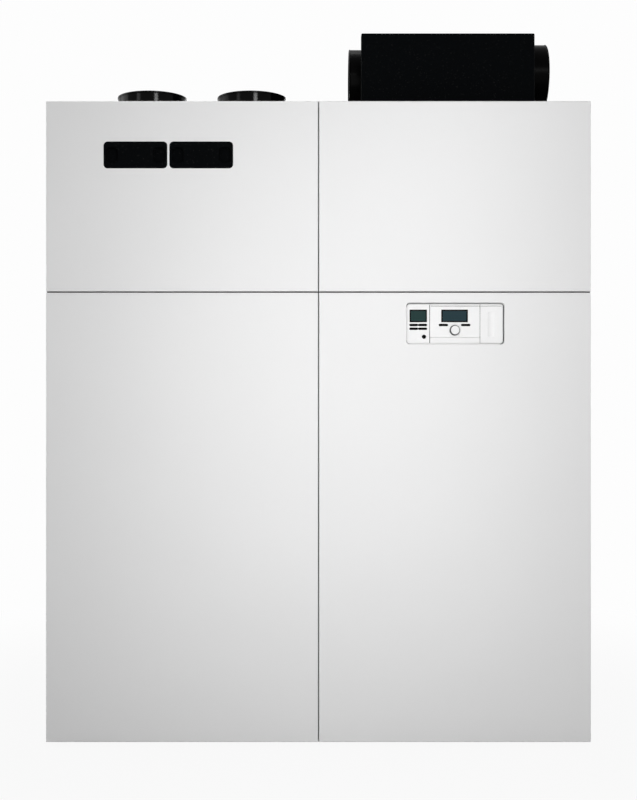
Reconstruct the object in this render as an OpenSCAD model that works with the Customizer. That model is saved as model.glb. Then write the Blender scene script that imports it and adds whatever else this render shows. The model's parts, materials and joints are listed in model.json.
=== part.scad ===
// Indoor heat pump with home ventilation and a hot water cylinder in one wide cabinet.
// X runs to the right, the front faces -Y, Z is up, and the floor is at Z = 0.

/* [Casing] */
// Width of the cabinet
cab_w = 1590; // [1560:5:1640]
// Height of the cabinet
cab_h = 1880; // [1860:5:1960]
// Depth of the cabinet
cab_d = 770; // [760:5:830]
// Height of the seam between the lower and the upper front panels
seam_z = 1323; // [1310:1:1340]
// Gap between the left and the right front panels
seam_v = 2.5; // [1.5:0.5:5]
// Gap between the lower and the upper front panels
seam_h = 3.5; // [2:0.5:6]
// Gap between the casing and the floor
floor_gap = 10; // [6:1:14]
// Thickness of the casing sheet
sheet = 1.5; // [1:0.1:2]
// Depth of a front panel over its folded edges
panel_d = 20; // [16:1:24]
// Width of the return lip behind a front panel
lip_w = 36; // [32:1:40]
// Outer radius of the folded panel edges
fold_r = 3; // [2:0.5:4]
// Depth of the folded edges of the side, rear and top panels
tray_d = 15; // [12:1:18]
// Distance that the rear panel lies inside the side panels
rear_inset = 3; // [2.8:0.1:5]

/* [Frame] */
// Height of a foot pad under the base frame
foot_h = 12; // [10:1:16]
// Radius of a foot pad
foot_r = 28; // [22:1:35]
// Radius of a foot's threaded stem
stem_r = 6; // [5:0.5:8]
// Distance of each foot from the frame's outer faces
foot_inset = 60; // [50:1:80]
// Height of the base frame
base_h = 50; // [40:1:60]
// Sheet thickness of the base frame
base_t = 3; // [2:0.5:4]
// Width of a corner post's legs
post_leg = 45; // [40:1:55]
// Sheet thickness of the posts
post_t = 2; // [1.5:0.5:3]
// Thickness of the sheet between the two columns
wall_t = 1.5; // [1:0.1:2]
// Thickness of the deck halfway up
deck_t = 3; // [2:0.5:4]
// Radius of a push-in stud behind a front panel
stud_r = 4; // [3:0.5:5]
// Length of a push-in stud
stud_l = 14; // [10:1:18]
// Running clearance of studs and stems in their holes
fit_gap = 0.08; // [0.03:0.01:0.1]

/* [Ventilation] */
// Distance of the supply air collar from the cabinet's middle
supply_x = -526; // [-540:1:-500]
// Distance of the extract air collar from the cabinet's middle
extract_x = -211; // [-230:1:-190]
// Distance of the collars' middle behind the front
collar_back = 320; // [300:1:340]
// Bore radius of the air collars
collar_r = 105; // [95:1:108]
// Wall of the air collars
collar_wall = 3; // [2:0.5:5]
// Height of the air collars above the cabinet
collar_h = 83; // [60:1:90]
// Left edge of the left filter cover
filter_x = -626; // [-640:1:-610]
// Width of a filter cover
filter_w = 184; // [170:1:186]
// Height of a filter cover
filter_h = 76.5; // [66:0.5:80]
// Gap between the two filter covers
filter_gap = 8; // [6:1:14]
// Height of the filter covers' lower edge
filter_z = 1684.5; // [1675:0.5:1695]
// Corner radius of a filter cover
filter_r = 12; // [6:1:14]
// Depth of a filter cover's foam plug
plug_d = 38; // [34:1:44]
// Length of a filter cassette
cassette_l = 390; // [340:5:420]
// Clearance of the filter covers in the front panel
cover_gap = 1; // [0.5:0.1:1.5]
// Gap between the ventilation unit's foam housing and the side wall
vent_side = 34; // [30:1:44]
// Depth of the foam housing with its front plate
vent_d = 600; // [580:5:620]
// Thickness of the foam housing's front plate
vent_front_t = 40; // [30:1:50]
// Radius of the ventilation fans' wheels
vent_wheel_r = 70; // [55:1:74]
// Width of the ventilation fans' wheels
vent_wheel_w = 60; // [40:1:70]
// Half the width of the heat exchanger core
core_r = 160; // [130:1:164]

/* [Duct box] */
// Left edge of the duct box
box_x = 129; // [120:1:140]
// Width of the duct box
box_w = 523; // [510:1:540]
// Distance of the duct box behind the front
box_back = 123; // [110:1:135]
// Depth of the duct box
box_d = 500; // [450:5:520]
// Height of the duct box
box_h = 234; // [232:1:260]
// Foam wall of the duct box
box_wall = 20; // [15:1:25]
// Corner radius of the duct box
box_r = 4; // [2:1:8]
// Depth of the hollow in the duct box's left side, which leaves room to push a duct on
waist = 14; // [8:1:16]
// Outer radius of the spigots
spigot_r = 98; // [80:1:98]
// Wall of the spigots
spigot_wall = 3; // [2:0.5:5]
// Radius of the bead round a spigot's mouth
bead_r = 2.6; // [1.6:0.1:3]
// Height of the spigots' middle above the cabinet
spigot_z = 132; // [128:1:132]
// Distance of the outdoor air spigot behind the front
outdoor_back = 305; // [290:1:320]
// Distance of the exhaust air spigot behind the front
exhaust_back = 251; // [235:1:265]
// Length of the outdoor air spigot
outdoor_l = 34; // [25:1:45]
// Length of the exhaust air spigot
exhaust_l = 51; // [40:1:65]

/* [Outdoor air unit] */
// Middle of the fan across the cabinet
fan_x = 425; // [415:1:430]
// Height of the fan's middle above the deck
fan_up = 267; // [255:1:280]
// Outer radius of the fan wheel
wheel_r = 125; // [110:1:130]
// Length of the fan wheel's blades
wheel_w = 140; // [110:1:150]
// Depth of the blade ring
blade_d = 25; // [20:1:32]
// Number of fan blades
blade_n = 36; // [24:1:42]
// Thickness of a fan blade
blade_t = 1.6; // [1.2:0.1:2.4]
// Radius of a fan shaft
shaft_r = 8; // [6:0.5:10]
// Gap between the wheel and the tongue of the scroll
tongue_gap = 10; // [8:1:12]
// Growth of the scroll's radius in each quarter turn
scroll_step = 22; // [18:1:24]
// Sheet thickness of the scroll
scroll_t = 2; // [1.5:0.5:3]
// Distance of the scroll behind the front
scroll_back = 160; // [150:1:175]
// Distance of the evaporator from the cabinet's middle
coil_x = 170; // [160:1:172]
// Thickness of the evaporator
coil_t = 65; // [50:1:66]
// Length of the evaporator's finned stretch
coil_l = 600; // [560:10:620]
// Height of the evaporator
coil_h = 500; // [460:5:505]
// Spacing of the evaporator's fins as modelled
fin_pitch = 10; // [8:1:14]

/* [Refrigerant circuit] */
// Radius of the compressor's body
comp_r = 85; // [75:1:90]
// Height of the compressor's body
comp_h = 400; // [340:5:430]
// Middle of the compressor across the cabinet
comp_x = 520; // [505:1:530]
// Middle of the compressor from the cabinet's middle depth
comp_y = 60; // [50:1:70]
// Height of the compressor's rubber mounts
mount_h = 25; // [18:1:32]
// Radius of the accumulator beside the compressor
acc_r = 46; // [40:1:50]
// Width of the plate condenser
cond_w = 120; // [110:1:130]
// Depth of the plate condenser
cond_d = 80; // [60:1:90]
// Height of the plate condenser
cond_h = 500; // [460:5:520]
// Radius of the thick refrigerant pipes
gas_r = 8; // [6:0.5:9]
// Radius of the liquid pipe
liquid_r = 5; // [4:0.5:6]

/* [Water] */
// Outer radius of the insulated hot water cylinder
tank_r = 290; // [270:1:300]
// Height of the hot water cylinder's jacket
tank_h = 1130; // [1050:5:1150]
// Outer radius of the heating pipes
heat_r = 14; // [11:0.5:14]
// Outer radius of the drinking water pipes
tap_r = 11; // [7.5:0.5:11]
// Outer radius of the circulation pipe
loop_r = 7.5; // [6:0.5:9]
// Length of the pipe ends above the cabinet
stub_h = 60; // [40:1:90]
// Radius of the expansion vessel
vessel_r = 105; // [90:1:110]
// Height of the expansion vessel
vessel_h = 300; // [250:5:320]

/* [Console] */
// Left edge of the console
con_x = 258; // [245:1:270]
// Width of the console
con_w = 282; // [280:1:290]
// Height of the console
con_h = 118; // [116:1:124]
// Height of the console's lower edge below the seam
con_down = 151; // [148:1:156]
// Depth of the console's face behind the front panels
con_inset = 12; // [11:0.5:14]
// Gap round the console in the front panel
con_gap = 2; // [1:0.1:2]
// Width of the interface module beside the controller
iface_w = 67.5; // [66:0.5:70]
// Width of the plug-in controller
ctl_w = 147; // [144:1:150]
// Height of the plug-in controller
ctl_h = 93; // [88:1:94]
// Depth of the controller's recess
ctl_d = 16; // [12:1:20]
// Height of the controller above the console's lower edge
ctl_up = 18.5; // [16:0.5:20]
// Radius of the rotary knob
knob_r = 13.5; // [12:0.5:14]
// Height of the knob above the controller's face
knob_h = 10; // [8:0.5:10.5]
// Radius of the knob's spindle
spindle_r = 3; // [2.5:0.5:4]
// Length of a menu key
key_l = 25; // [20:0.2:25.4]
// Height of a key
key_h = 6.5; // [5:0.5:7]
// Length of a soft key
soft_l = 27; // [24:1:30]
// Travel of a key
key_travel = 1.2; // [0.8:0.1:1.5]
// Radius of the reset button
reset_r = 6; // [5:0.5:7]
// Clearance round the keys
key_gap = 0.3; // [0.2:0.05:0.5]

/* [Hidden] */
$fn = 64;
cut = 1;
half_w = cab_w / 2;
y_front = -cab_d / 2;
y_back = cab_d / 2;
y_frame = y_front + panel_d;
y_inner = y_frame + post_t;
y_rear = y_back - rear_inset - tray_d;
y_rear_inner = y_rear - post_t;
x_frame = half_w - tray_d;
x_inner = x_frame - post_t;
z_base = foot_h + base_h;
z_deck = seam_z;
z_under = z_deck - deck_t;
z_frame = cab_h - tray_d;
z_cover = cab_h - sheet;
foot_x = x_frame - foot_inset;
foot_at = [for (x = [-foot_x, foot_x], y = [y_frame + foot_inset, y_rear - foot_inset]) [x, y]];
foot_rise = 8;
stud_in = 25;
stud_mid = 16;
stud_up = 110;
stud_low = 60;
stud_high = 80;
stud_x = [-half_w + stud_in, -seam_v / 2 - stud_mid, seam_v / 2 + stud_mid, half_w - stud_in];
low_z = [floor_gap, seam_z - seam_h / 2];
high_z = [seam_z + seam_h / 2, cab_h];
stud_z = [low_z[0] + stud_up, low_z[1] - stud_up, high_z[0] + stud_low, high_z[1] - stud_high];
post_hole_r = stud_r + fit_gap;
screw_r = 2.4;
screw_hole = screw_r + fit_gap;
screw_head_r = 5;
screw_head_h = 2.5;
screw_l = rear_inset + tray_d + 8;
screw_x = [-x_frame + post_leg / 2, 15, x_frame - post_leg / 2];
screw_z = [for (i = [0:4]) z_base + 60 + i * (z_frame - z_base - 120) / 4];
rib_in = 60;
rib_w = 16;
rib_h = 2.2;
rib_n = 9;
rib_z = [for (i = [1:rib_n]) foot_h + i * (z_frame - foot_h) / (rib_n + 1)];

// Air collars and the foam housing below them
vent_in = 24;
collar_y = y_front + collar_back;
collar_out = collar_r + collar_wall;
collar_flange = collar_out + 15;
lip_h = 6;
lip_slack = 0.5;
lip_out = collar_out + 1.5;
shoulder = 4;
vent_x0 = -x_inner + vent_side;
vent_w = -vent_in - vent_x0;
vent_top = z_frame - 3;
vent_y0 = y_inner + 2;
vent_body_y = vent_y0 + vent_front_t;
vent_y1 = vent_y0 + vent_d;

// Filters
filter_at = [filter_x, filter_x + filter_w + filter_gap];
plug_y0 = y_front + 2;
plug_y1 = plug_y0 + plug_d;
slot_gap = 1;
grip_in = 5;
grip_w = 35;
grip_h = 46;
grip_r = 12;
grip_d = 14;
cassette_w = filter_w - 20;
cassette_h = filter_h - 13;
cassette_y1 = plug_y1 + cassette_l;
pleat_n = 12;

// Ventilation fans and exchanger core
core_x = vent_x0 + vent_w / 2;
core_drop = 19;
core_z = filter_z - core_r * sin(60) - core_drop;
core_l = vent_d - vent_front_t - 80;
vent_fan_z = z_deck + 130;
vent_pocket_r = vent_wheel_r + 6;
vent_pocket_d = 150;
duct_wall = 40;
window_in = 22;
vent_fan_dx = vent_w / 2 - 16 - vent_pocket_r;
vent_motor_l = 60;
vent_wheel_y = vent_body_y + 20;
vent_motor_y = vent_body_y + vent_pocket_d - vent_motor_l;
vent_shaft_r = 4;

// Duct box and spigots
box_y0 = y_front + box_back;
box_mid = box_x + box_w / 2;
waist_in = 32;
waist_x = box_x + waist;
chamber_x = [[waist_x + box_wall, box_mid - box_wall / 2], [box_mid + box_wall / 2, box_x + box_w - box_wall]];
chamber_h = box_h - box_wall;
spigot_cz = cab_h + spigot_z;
outdoor_y = y_front + outdoor_back;
exhaust_y = y_front + exhaust_back;
spigot_in = spigot_r - spigot_wall;

// Fan, scroll and evaporator
fan_z = z_deck + fan_up;
scroll_w = wheel_w + 14;
scroll_y0 = y_front + scroll_back;
scroll_y1 = scroll_y0 + scroll_w + 2 * scroll_t;
fan_y = (scroll_y0 + scroll_y1) / 2;
scroll_r1 = wheel_r + tongue_gap + scroll_step / 2;
scroll_r2 = scroll_r1 + scroll_step;
scroll_r3 = scroll_r2 + scroll_step;
sc1 = [fan_x - scroll_step / 2, fan_z - scroll_step / 2];
sc2 = [sc1[0] + scroll_step, sc1[1]];
sc3 = [sc2[0], sc2[1] + scroll_step];
mouth_x0 = sc1[0] + 0.64 * scroll_r1;
mouth_x1 = sc3[0] + scroll_r3;
inlet_r = wheel_r - blade_d - 2;
wheel_y0 = scroll_y0 + scroll_t + 7;
wheel_y1 = wheel_y0 + wheel_w;
motor_r = 55;
motor_l = 80;
hub_r = 22;
tray_w = coil_t + 46;
tray_x = coil_x - 26;
tray_rim = 40;
drain_x = tray_x + tray_w / 2;
drain_y = 250;
drain_r = 12;
coil_z = z_deck + 17;
coil_y0 = -coil_l / 2;
bend_n = 10;
tube_r = 5;

// Refrigerant circuit
acc_x = comp_x - comp_r - acc_r - 8;
mount_reach = comp_r + 22;
mount_angles = [90, 210, 330];
function mount_at(a) = [comp_x + mount_reach * cos(a), comp_y + mount_reach * sin(a)];
acc_h = 280;
acc_z = z_base + mount_h + 70;
comp_z = z_base + mount_h + 4;
comp_top = comp_z + comp_h;
valve_z = comp_top + 140;
valve_l = 130;
valve_r = 20;
port_dx = 36;
port_h = 20;
cond_x = 240;
cond_y0 = 150;
cond_z = z_base + 60;
cond_port_dx = 35;
gas_bend = 24;
liquid_x = cond_x + cond_port_dx;
liquid_bend = 16;
suction_z = valve_z + 110;
hot_gas_z = valve_z + 170;
drier_z = cond_z + 170;
drier_l = 150;
drier_r = 25;
xv_z = drier_z + drier_l + 60;
xv_h = 40;
xv_r = 14;

// Water circuit
tank_x = -x_inner / 2;
tank_z = z_base + 25;
flange_z = tank_z + 330;
flange_r = 95;
bolt_ring = 78;
probe_z = flange_z + 520;
water_y = 40;
riser_y = y_rear_inner - 35;
heat_riser_y = y_rear_inner - 65;
flow_x = 690;
return_x = 740;
cold_x = tank_x - 250;
hot_x = tank_x;
loop_x = tank_x + 60;
heat_bend = 30;
tap_bend = 22;
pump_x = cond_x - cond_port_dx;
cond_water_z = [cond_z + 48, cond_z + cond_h - 48];
pump_z = cond_z + cond_h + 80;
pump_h = 160;
volute_r = 44;
rotor_r = 36;
rotor_y = water_y - 70;
driver_y = rotor_y - 46;
driver_d = 26;
div_z = pump_z + pump_h + 80;
div_h = 60;
return_z = cond_water_z[0];
tank_port_z = [return_z, div_z + div_h / 2];
pipe_gap = 0.5;
rosette_h = 3;
vessel_side = 33;
vessel_front = 58;
vessel_x = x_inner - vessel_r - vessel_side;
vessel_y = y_inner + vessel_r + vessel_front;

// Routes of the pipes
flow_route = [
  [pump_x, water_y + heat_r + 6, div_z + div_h / 2], [pump_x, heat_riser_y, div_z + div_h / 2],
  [flow_x, heat_riser_y, div_z + div_h / 2], [flow_x, heat_riser_y, cab_h + stub_h]
];
return_route = [
  [tank_x + tank_r + 20, 100, return_z], [80, 100, return_z], [80, heat_riser_y, return_z],
  [return_x, heat_riser_y, return_z], [return_x, heat_riser_y, cab_h + stub_h]
];
cold_route = [
  [tank_x - 60, tank_r + 8, tank_z + 75], [tank_x - 60, riser_y, tank_z + 75],
  [cold_x, riser_y, tank_z + 75], [cold_x, riser_y, cab_h + stub_h]
];
hot_z = tank_z + tank_h + 15;
hot_route = [
  [hot_x, 0, hot_z], [hot_x, 0, hot_z + 45], [hot_x, riser_y, hot_z + 45], [hot_x, riser_y, cab_h + stub_h]
];
loop_z = tank_z + 800;
loop_route = [[loop_x, tank_r + 8, loop_z], [loop_x, riser_y, loop_z], [loop_x, riser_y, cab_h + stub_h]];
evap_gas_y = comp_y - 80;
evap_gas_route = [
  [comp_x - port_dx, comp_y, valve_z + valve_r + port_h], [comp_x - port_dx, comp_y, valve_z + 65],
  [comp_x - port_dx, evap_gas_y, valve_z + 65], [comp_x - port_dx, evap_gas_y, z_under - 70],
  [300, evap_gas_y, z_under - 70], [300, evap_gas_y, coil_z + 110],
  [coil_x + coil_t, evap_gas_y, coil_z + 110]
];
liquid_route_y = 60;
liquid_top = [
  [liquid_x, liquid_route_y, xv_z + xv_h], [liquid_x, liquid_route_y, coil_z + 60],
  [coil_x + coil_t, liquid_route_y, coil_z + 60]
];

// Console
con_z = seam_z - con_down;
con_y = y_front + con_inset;
con_back = y_front + 85;
elec_x = con_x - 108;
elec_w = con_w + 218;
elec_h = 360;
elec_d = 140;
iface_x = con_x;
ctl_x = con_x + iface_w;
ctl_z = con_z + ctl_up;
ctl_y1 = con_y + ctl_d;
blank_x = ctl_x + ctl_w;
blank_x1 = con_x + con_w - 1.5;
blank_top = ctl_z + ctl_h;
con_r = 9;
groove_w = [2.4, 1.4];
groove_d = 3;
ctl_gap = 0.6;
knob_gap = 2;
glass_t = 2;
lens_z = ctl_z + ctl_h - 48;
lens_h = 37;
lens_w = [51, 78];
lens_x = [iface_x + 8.3, ctl_x + 33.5];
key_col = [iface_x + 8, iface_x + 34.6];
key_row = [ctl_z + 37, ctl_z + 26];
soft_z = key_row[0];
soft_x = [ctl_x + 26.5, ctl_x + 91.5];
knob_x = ctl_x + 73.3;
knob_z = ctl_z + 21.8;
reset_x = iface_x + 50.5;
reset_z = con_z + 21;
key_proud = 1.6;
key_deep = 4;
key_floor = con_y + key_deep + key_travel + 0.2;

// Colours
white = [0.93, 0.93, 0.93];
foam = [0.06, 0.06, 0.065];
zinc = [0.62, 0.64, 0.66];
copper = [0.72, 0.42, 0.27];
steel = [0.55, 0.57, 0.6];

// Bars and plates placed by their end coordinates
module block(a, b) {
  translate(a) cube(b - a);
}
module rod_x(y, z, x0, x1, r) {
  translate([x0, y, z]) rotate([0, 90, 0]) cylinder(h = x1 - x0, r = r);
}
module rod_y(x, z, y0, y1, r) {
  translate([x, y0, z]) rotate([-90, 0, 0]) cylinder(h = y1 - y0, r = r);
}
module rod_z(x, y, z0, z1, r) {
  translate([x, y, z0]) cylinder(h = z1 - z0, r = r);
}
module along_x(x0, x1) {
  translate([x0, 0, 0]) rotate([90, 0, 90]) linear_extrude(x1 - x0) children();
}
module along_y(y0, y1) {
  translate([0, y1, 0]) rotate([90, 0, 0]) linear_extrude(y1 - y0) children();
}
module round_rect(x, y, w, h, r) {
  translate([x + r, y]) square([w - 2 * r, h]);
  translate([x, y + r]) square([w, h - 2 * r]);
  for (cx = [x + r, x + w - r], cy = [y + r, y + h - r]) translate([cx, cy]) circle(r);
}
module ring(out, in) {
  difference() {
    circle(out);
    circle(in);
  }
}

// A pipe through right-angled corners: straight stretches joined by bends
function unit(v) = v / norm(v);
module pipe_run(p, r, bend) {
  n = len(p);
  for (i = [0:n - 2]) {
    d = unit(p[i + 1] - p[i]);
    a = p[i] + (i == 0 ? 0 : bend) * d;
    b = p[i + 1] - (i == n - 2 ? 0 : bend) * d;
    x = abs(d[2]) > 0.5 ? [1, 0, 0] : [0, 0, 1];
    y = cross(d, x);
    multmatrix([
      [x[0], y[0], d[0], a[0]],
      [x[1], y[1], d[1], a[1]],
      [x[2], y[2], d[2], a[2]],
      [0, 0, 0, 1]
    ]) cylinder(h = norm(b - a), r = r);
  }
  for (i = [1:1:n - 2]) {
    u = unit(p[i] - p[i - 1]);
    v = unit(p[i + 1] - p[i]);
    w = cross(u, v);
    c = p[i] - bend * u + bend * v;
    multmatrix([
      [-v[0], u[0], w[0], c[0]],
      [-v[1], u[1], w[1], c[1]],
      [-v[2], u[2], w[2], c[2]],
      [0, 0, 0, 1]
    ]) rotate_extrude(angle = 90) translate([bend, 0]) circle(r);
  }
}

// A riser's end above the cover, with the rosette that rests on the cover
module riser_rosette(x, y, r) {
  rod_z(x, y, cab_h, cab_h + rosette_h, r + 8);
}

// Frame
module base_shell() {
  difference() {
    block([-x_frame, y_frame, foot_h], [x_frame, y_rear, z_base]);
    block([-x_frame + base_t, y_frame + base_t, foot_h - cut],
      [x_frame - base_t, y_rear - base_t, z_base - base_t]);
  }
  for (x = [-x_frame / 2, 0, x_frame / 2])
    block([x - 20, y_frame + base_t, foot_h + 6], [x + 20, y_rear - base_t, z_base - base_t]);
  for (f = foot_at) rod_z(f[0], f[1], foot_h, z_base - base_t, foot_r);
}
module base_frame() {
  color(zinc) difference() {
    base_shell();
    for (f = foot_at) rod_z(f[0], f[1], foot_h - cut, z_base + cut, stem_r + fit_gap);
    for (x = screw_x, z = [screw_z[0]]) rod_y(x, z, y_rear - 2 * base_t, y_rear + cut, screw_hole);
  }
}
module corner_post() {
  block([-x_frame, y_frame, z_base], [-x_inner, y_frame + post_leg, z_frame]);
  block([-x_frame, y_frame, z_base], [-x_frame + post_leg, y_inner, z_frame]);
  block([-x_frame, y_rear - post_leg, z_base], [-x_inner, y_rear, z_frame]);
  block([-x_frame, y_rear_inner, z_base], [-x_frame + post_leg, y_rear, z_frame]);
}
module frame_posts() {
  color(zinc) difference() {
    union() {
      corner_post();
      mirror([1, 0, 0]) corner_post();
      block([-30, y_frame, z_base], [30, y_inner, z_frame]);
      block([-30, y_rear_inner, z_base], [30, y_rear, z_frame]);
    }
    for (x = stud_x, z = stud_z) rod_y(x, z, y_frame - cut, y_inner + cut, post_hole_r);
    for (x = screw_x, z = screw_z) rod_y(x, z, y_rear_inner - cut, y_rear + cut, screw_hole);
  }
}

module centre_partition() {
  color(zinc) difference() {
    union() {
      block([-wall_t / 2, y_inner, z_base], [wall_t / 2, y_rear_inner, z_frame]);
      block([-18, y_inner + 4, z_frame - wall_t], [18, y_rear_inner - 4, z_frame]);
    }
    rod_x(water_y, tank_port_z[1], -wall_t, wall_t, heat_r + pipe_gap);
    rod_x(100, return_z, -wall_t, wall_t, heat_r + pipe_gap);
  }
}
module deck_half(s) {
  x0 = s < 0 ? -x_inner : wall_t / 2;
  x1 = s < 0 ? -wall_t / 2 : x_inner;
  block([x0, y_inner, z_under], [x1, y_rear_inner, z_deck]);
  block([x0 + 4, y_inner, z_under - 22], [x1 - 4, y_inner + deck_t, z_under]);
  block([x0 + 4, y_rear_inner - deck_t, z_under - 22], [x1 - 4, y_rear_inner, z_under]);
}
module mid_deck() {
  color(zinc) difference() {
    union() {
      deck_half(-1);
      deck_half(1);
    }
    rod_z(cold_x, riser_y, z_under - cut, z_deck + cut, tap_r + pipe_gap);
    rod_z(hot_x, riser_y, z_under - cut, z_deck + cut, tap_r + pipe_gap);
    rod_z(loop_x, riser_y, z_under - cut, z_deck + cut, loop_r + pipe_gap);
    for (x = [flow_x, return_x]) rod_z(x, heat_riser_y, z_under - cut, z_deck + cut, heat_r + pipe_gap);
    rod_z(300, evap_gas_y, z_under - cut, z_deck + cut, gas_r + pipe_gap);
    rod_z(liquid_x, liquid_route_y, z_under - cut, z_deck + cut, liquid_r + pipe_gap);
    rod_z(drain_x, drain_y, z_under - cut, z_deck + cut, drain_r + pipe_gap);
  }
}
module levelling_foot(i) {
  f = foot_at[i - 1];
  color([0.2, 0.2, 0.21]) {
    rod_z(f[0], f[1], foot_h - 4, z_base + foot_rise, stem_r);
    translate([f[0], f[1], 0]) rotate_extrude() polygon([
      [0, 0], [foot_r, 0], [foot_r, 4], [foot_r * 0.6, foot_h - 4], [foot_r * 0.6, foot_h], [0, foot_h]
    ]);
  }
}

// Casing
module tray_solid(a, b) {
  w = b[0] - a[0];
  h = b[2] - a[2];
  d = b[1] - a[1];
  intersection() {
    translate([0, 0, a[2]]) linear_extrude(h) {
      translate([a[0] + fold_r, a[1]]) square([w - 2 * fold_r, d]);
      translate([a[0], a[1] + fold_r]) square([w, d - fold_r]);
      for (x = [a[0] + fold_r, b[0] - fold_r]) translate([x, a[1] + fold_r]) circle(fold_r);
    }
    along_x(a[0], b[0]) {
      translate([a[1], a[2] + fold_r]) square([d, h - 2 * fold_r]);
      translate([a[1] + fold_r, a[2]]) square([d - fold_r, h]);
      for (z = [a[2] + fold_r, b[2] - fold_r]) translate([a[1] + fold_r, z]) circle(fold_r);
    }
  }
}
module front_panel(x0, x1, z0, z1) {
  y1 = y_frame;
  difference() {
    tray_solid([x0, y_front, z0], [x1, y1, z1]);
    block([x0 + sheet, y_front + sheet, z0 + sheet], [x1 - sheet, y1 - sheet, z1 - sheet]);
    block([x0 + lip_w, y1 - 2 * sheet, z0 + lip_w], [x1 - lip_w, y1 + cut, z1 - lip_w]);
  }
  sx = [for (x = stud_x) if (x > x0 && x < x1) x];
  sz = [for (z = stud_z) if (z > z0 && z < z1) z];
  for (x = sx, z = sz) {
    rod_y(x, z, y1 - sheet / 2, y1 + stud_l - stud_r, stud_r);
    translate([x, y1 + stud_l - stud_r, z]) sphere(stud_r);
  }
}
module front_panel_upper_left() {
  color(white) difference() {
    front_panel(-half_w, -seam_v / 2, high_z[0], high_z[1]);
    for (x = filter_at) along_y(y_front - cut, y_frame + cut)
      round_rect(x - cover_gap, filter_z - cover_gap, filter_w + 2 * cover_gap, filter_h + 2 * cover_gap,
        filter_r);
  }
}
module front_panel_upper_right() {
  color(white) front_panel(seam_v / 2, half_w, high_z[0], high_z[1]);
}
module front_panel_lower_left() {
  color(white) front_panel(-half_w, -seam_v / 2, low_z[0], low_z[1]);
}
module front_panel_lower_right() {
  color(white) difference() {
    front_panel(seam_v / 2, half_w, low_z[0], low_z[1]);
    along_y(y_front - cut, y_frame + cut)
      round_rect(con_x - con_gap, con_z - con_gap, con_w + 2 * con_gap, con_h + 2 * con_gap, con_r + con_gap);
  }
}
module side_panel() {
  difference() {
    block([-half_w, y_inner, floor_gap], [-x_frame, y_back, z_frame]);
    block([-half_w + sheet, y_inner + sheet, floor_gap + sheet],
      [-x_frame + cut, y_back - sheet, z_frame - sheet]);
  }
}
module side_panel_left() {
  color(white) side_panel();
}
module side_panel_right() {
  color(white) mirror([1, 0, 0]) side_panel();
}
module rear_panel() {
  y1 = y_back - rear_inset;
  x1 = x_frame - 1;
  color(white) difference() {
    union() {
      block([-x1, y_rear, foot_h], [x1, y1, z_frame - 1]);
      for (x = [-x1 + rib_in, rib_in], z = rib_z)
        along_y(y1 - sheet / 2, y1 + rib_h)
          round_rect(x, z - rib_w / 2, x1 - 2 * rib_in, rib_w, rib_w / 2 - 1);
    }
    block([-x1 + sheet, y_rear - cut, foot_h + sheet], [x1 - sheet, y1 - sheet, z_frame - 1 - sheet]);
    for (x = screw_x, z = screw_z) rod_y(x, z, y1 - 2 * sheet, y1 + cut, screw_hole);
  }
}
module top_cover(x0, x1) {
  difference() {
    block([x0, y_inner, z_frame], [x1, y_back, cab_h]);
    block([x0 + sheet, y_inner + sheet, z_frame - cut], [x1 - sheet, y_back - sheet, z_cover]);
  }
}
module cover_hole(x, y, r) {
  rod_z(x, y, z_cover - cut, cab_h + cut, r);
}
module top_cover_left() {
  color(white) difference() {
    top_cover(-half_w, -1);
    for (x = [supply_x, extract_x]) cover_hole(x, collar_y, collar_out + pipe_gap);
    cover_hole(cold_x, riser_y, tap_r + pipe_gap);
    cover_hole(hot_x, riser_y, tap_r + pipe_gap);
    cover_hole(loop_x, riser_y, loop_r + pipe_gap);
  }
}
module top_cover_right() {
  color(white) difference() {
    top_cover(1, half_w);
    for (x = [flow_x, return_x]) cover_hole(x, heat_riser_y, heat_r + pipe_gap);
    block([chamber_x[0][0] + 10, box_y0 + box_wall + 10, z_cover - cut],
      [chamber_x[0][1] - 10, box_y0 + box_d - box_wall - 10, cab_h + cut]);
    block([mouth_x0, scroll_y0 + scroll_t, z_cover - cut], [mouth_x1, scroll_y1 - scroll_t, cab_h + cut]);
  }
}
module casing_screws() {
  y1 = y_back - rear_inset;
  color(steel) for (x = screw_x, z = screw_z) {
    rod_y(x, z, y1 - screw_l, y1 + cut, screw_r);
    rod_y(x, z, y1, y1 + screw_head_h, screw_head_r);
  }
}

// Air collars on the left column
module air_collar(x) {
  translate([x, collar_y, 0]) difference() {
    union() {
      rod_z(0, 0, vent_top, cab_h + collar_h - lip_h, collar_out);
      rod_z(0, 0, cab_h, cab_h + collar_wall, collar_flange);
    }
    rod_z(0, 0, vent_top - cut, cab_h + collar_h + cut, collar_r);
  }
}
module supply_air_collar() {
  color([0.05, 0.05, 0.05]) air_collar(supply_x);
}
module extract_air_collar() {
  color([0.05, 0.05, 0.05]) air_collar(extract_x);
}
module collar_seals() {
  z1 = cab_h + collar_h;
  color([0.03, 0.03, 0.03]) for (x = [supply_x, extract_x]) translate([x, collar_y, 0]) difference() {
    rod_z(0, 0, z1 - lip_h, z1, lip_out);
    rod_z(0, 0, z1 - lip_h - cut, z1 + cut, collar_r + lip_slack);
  }
}

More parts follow.
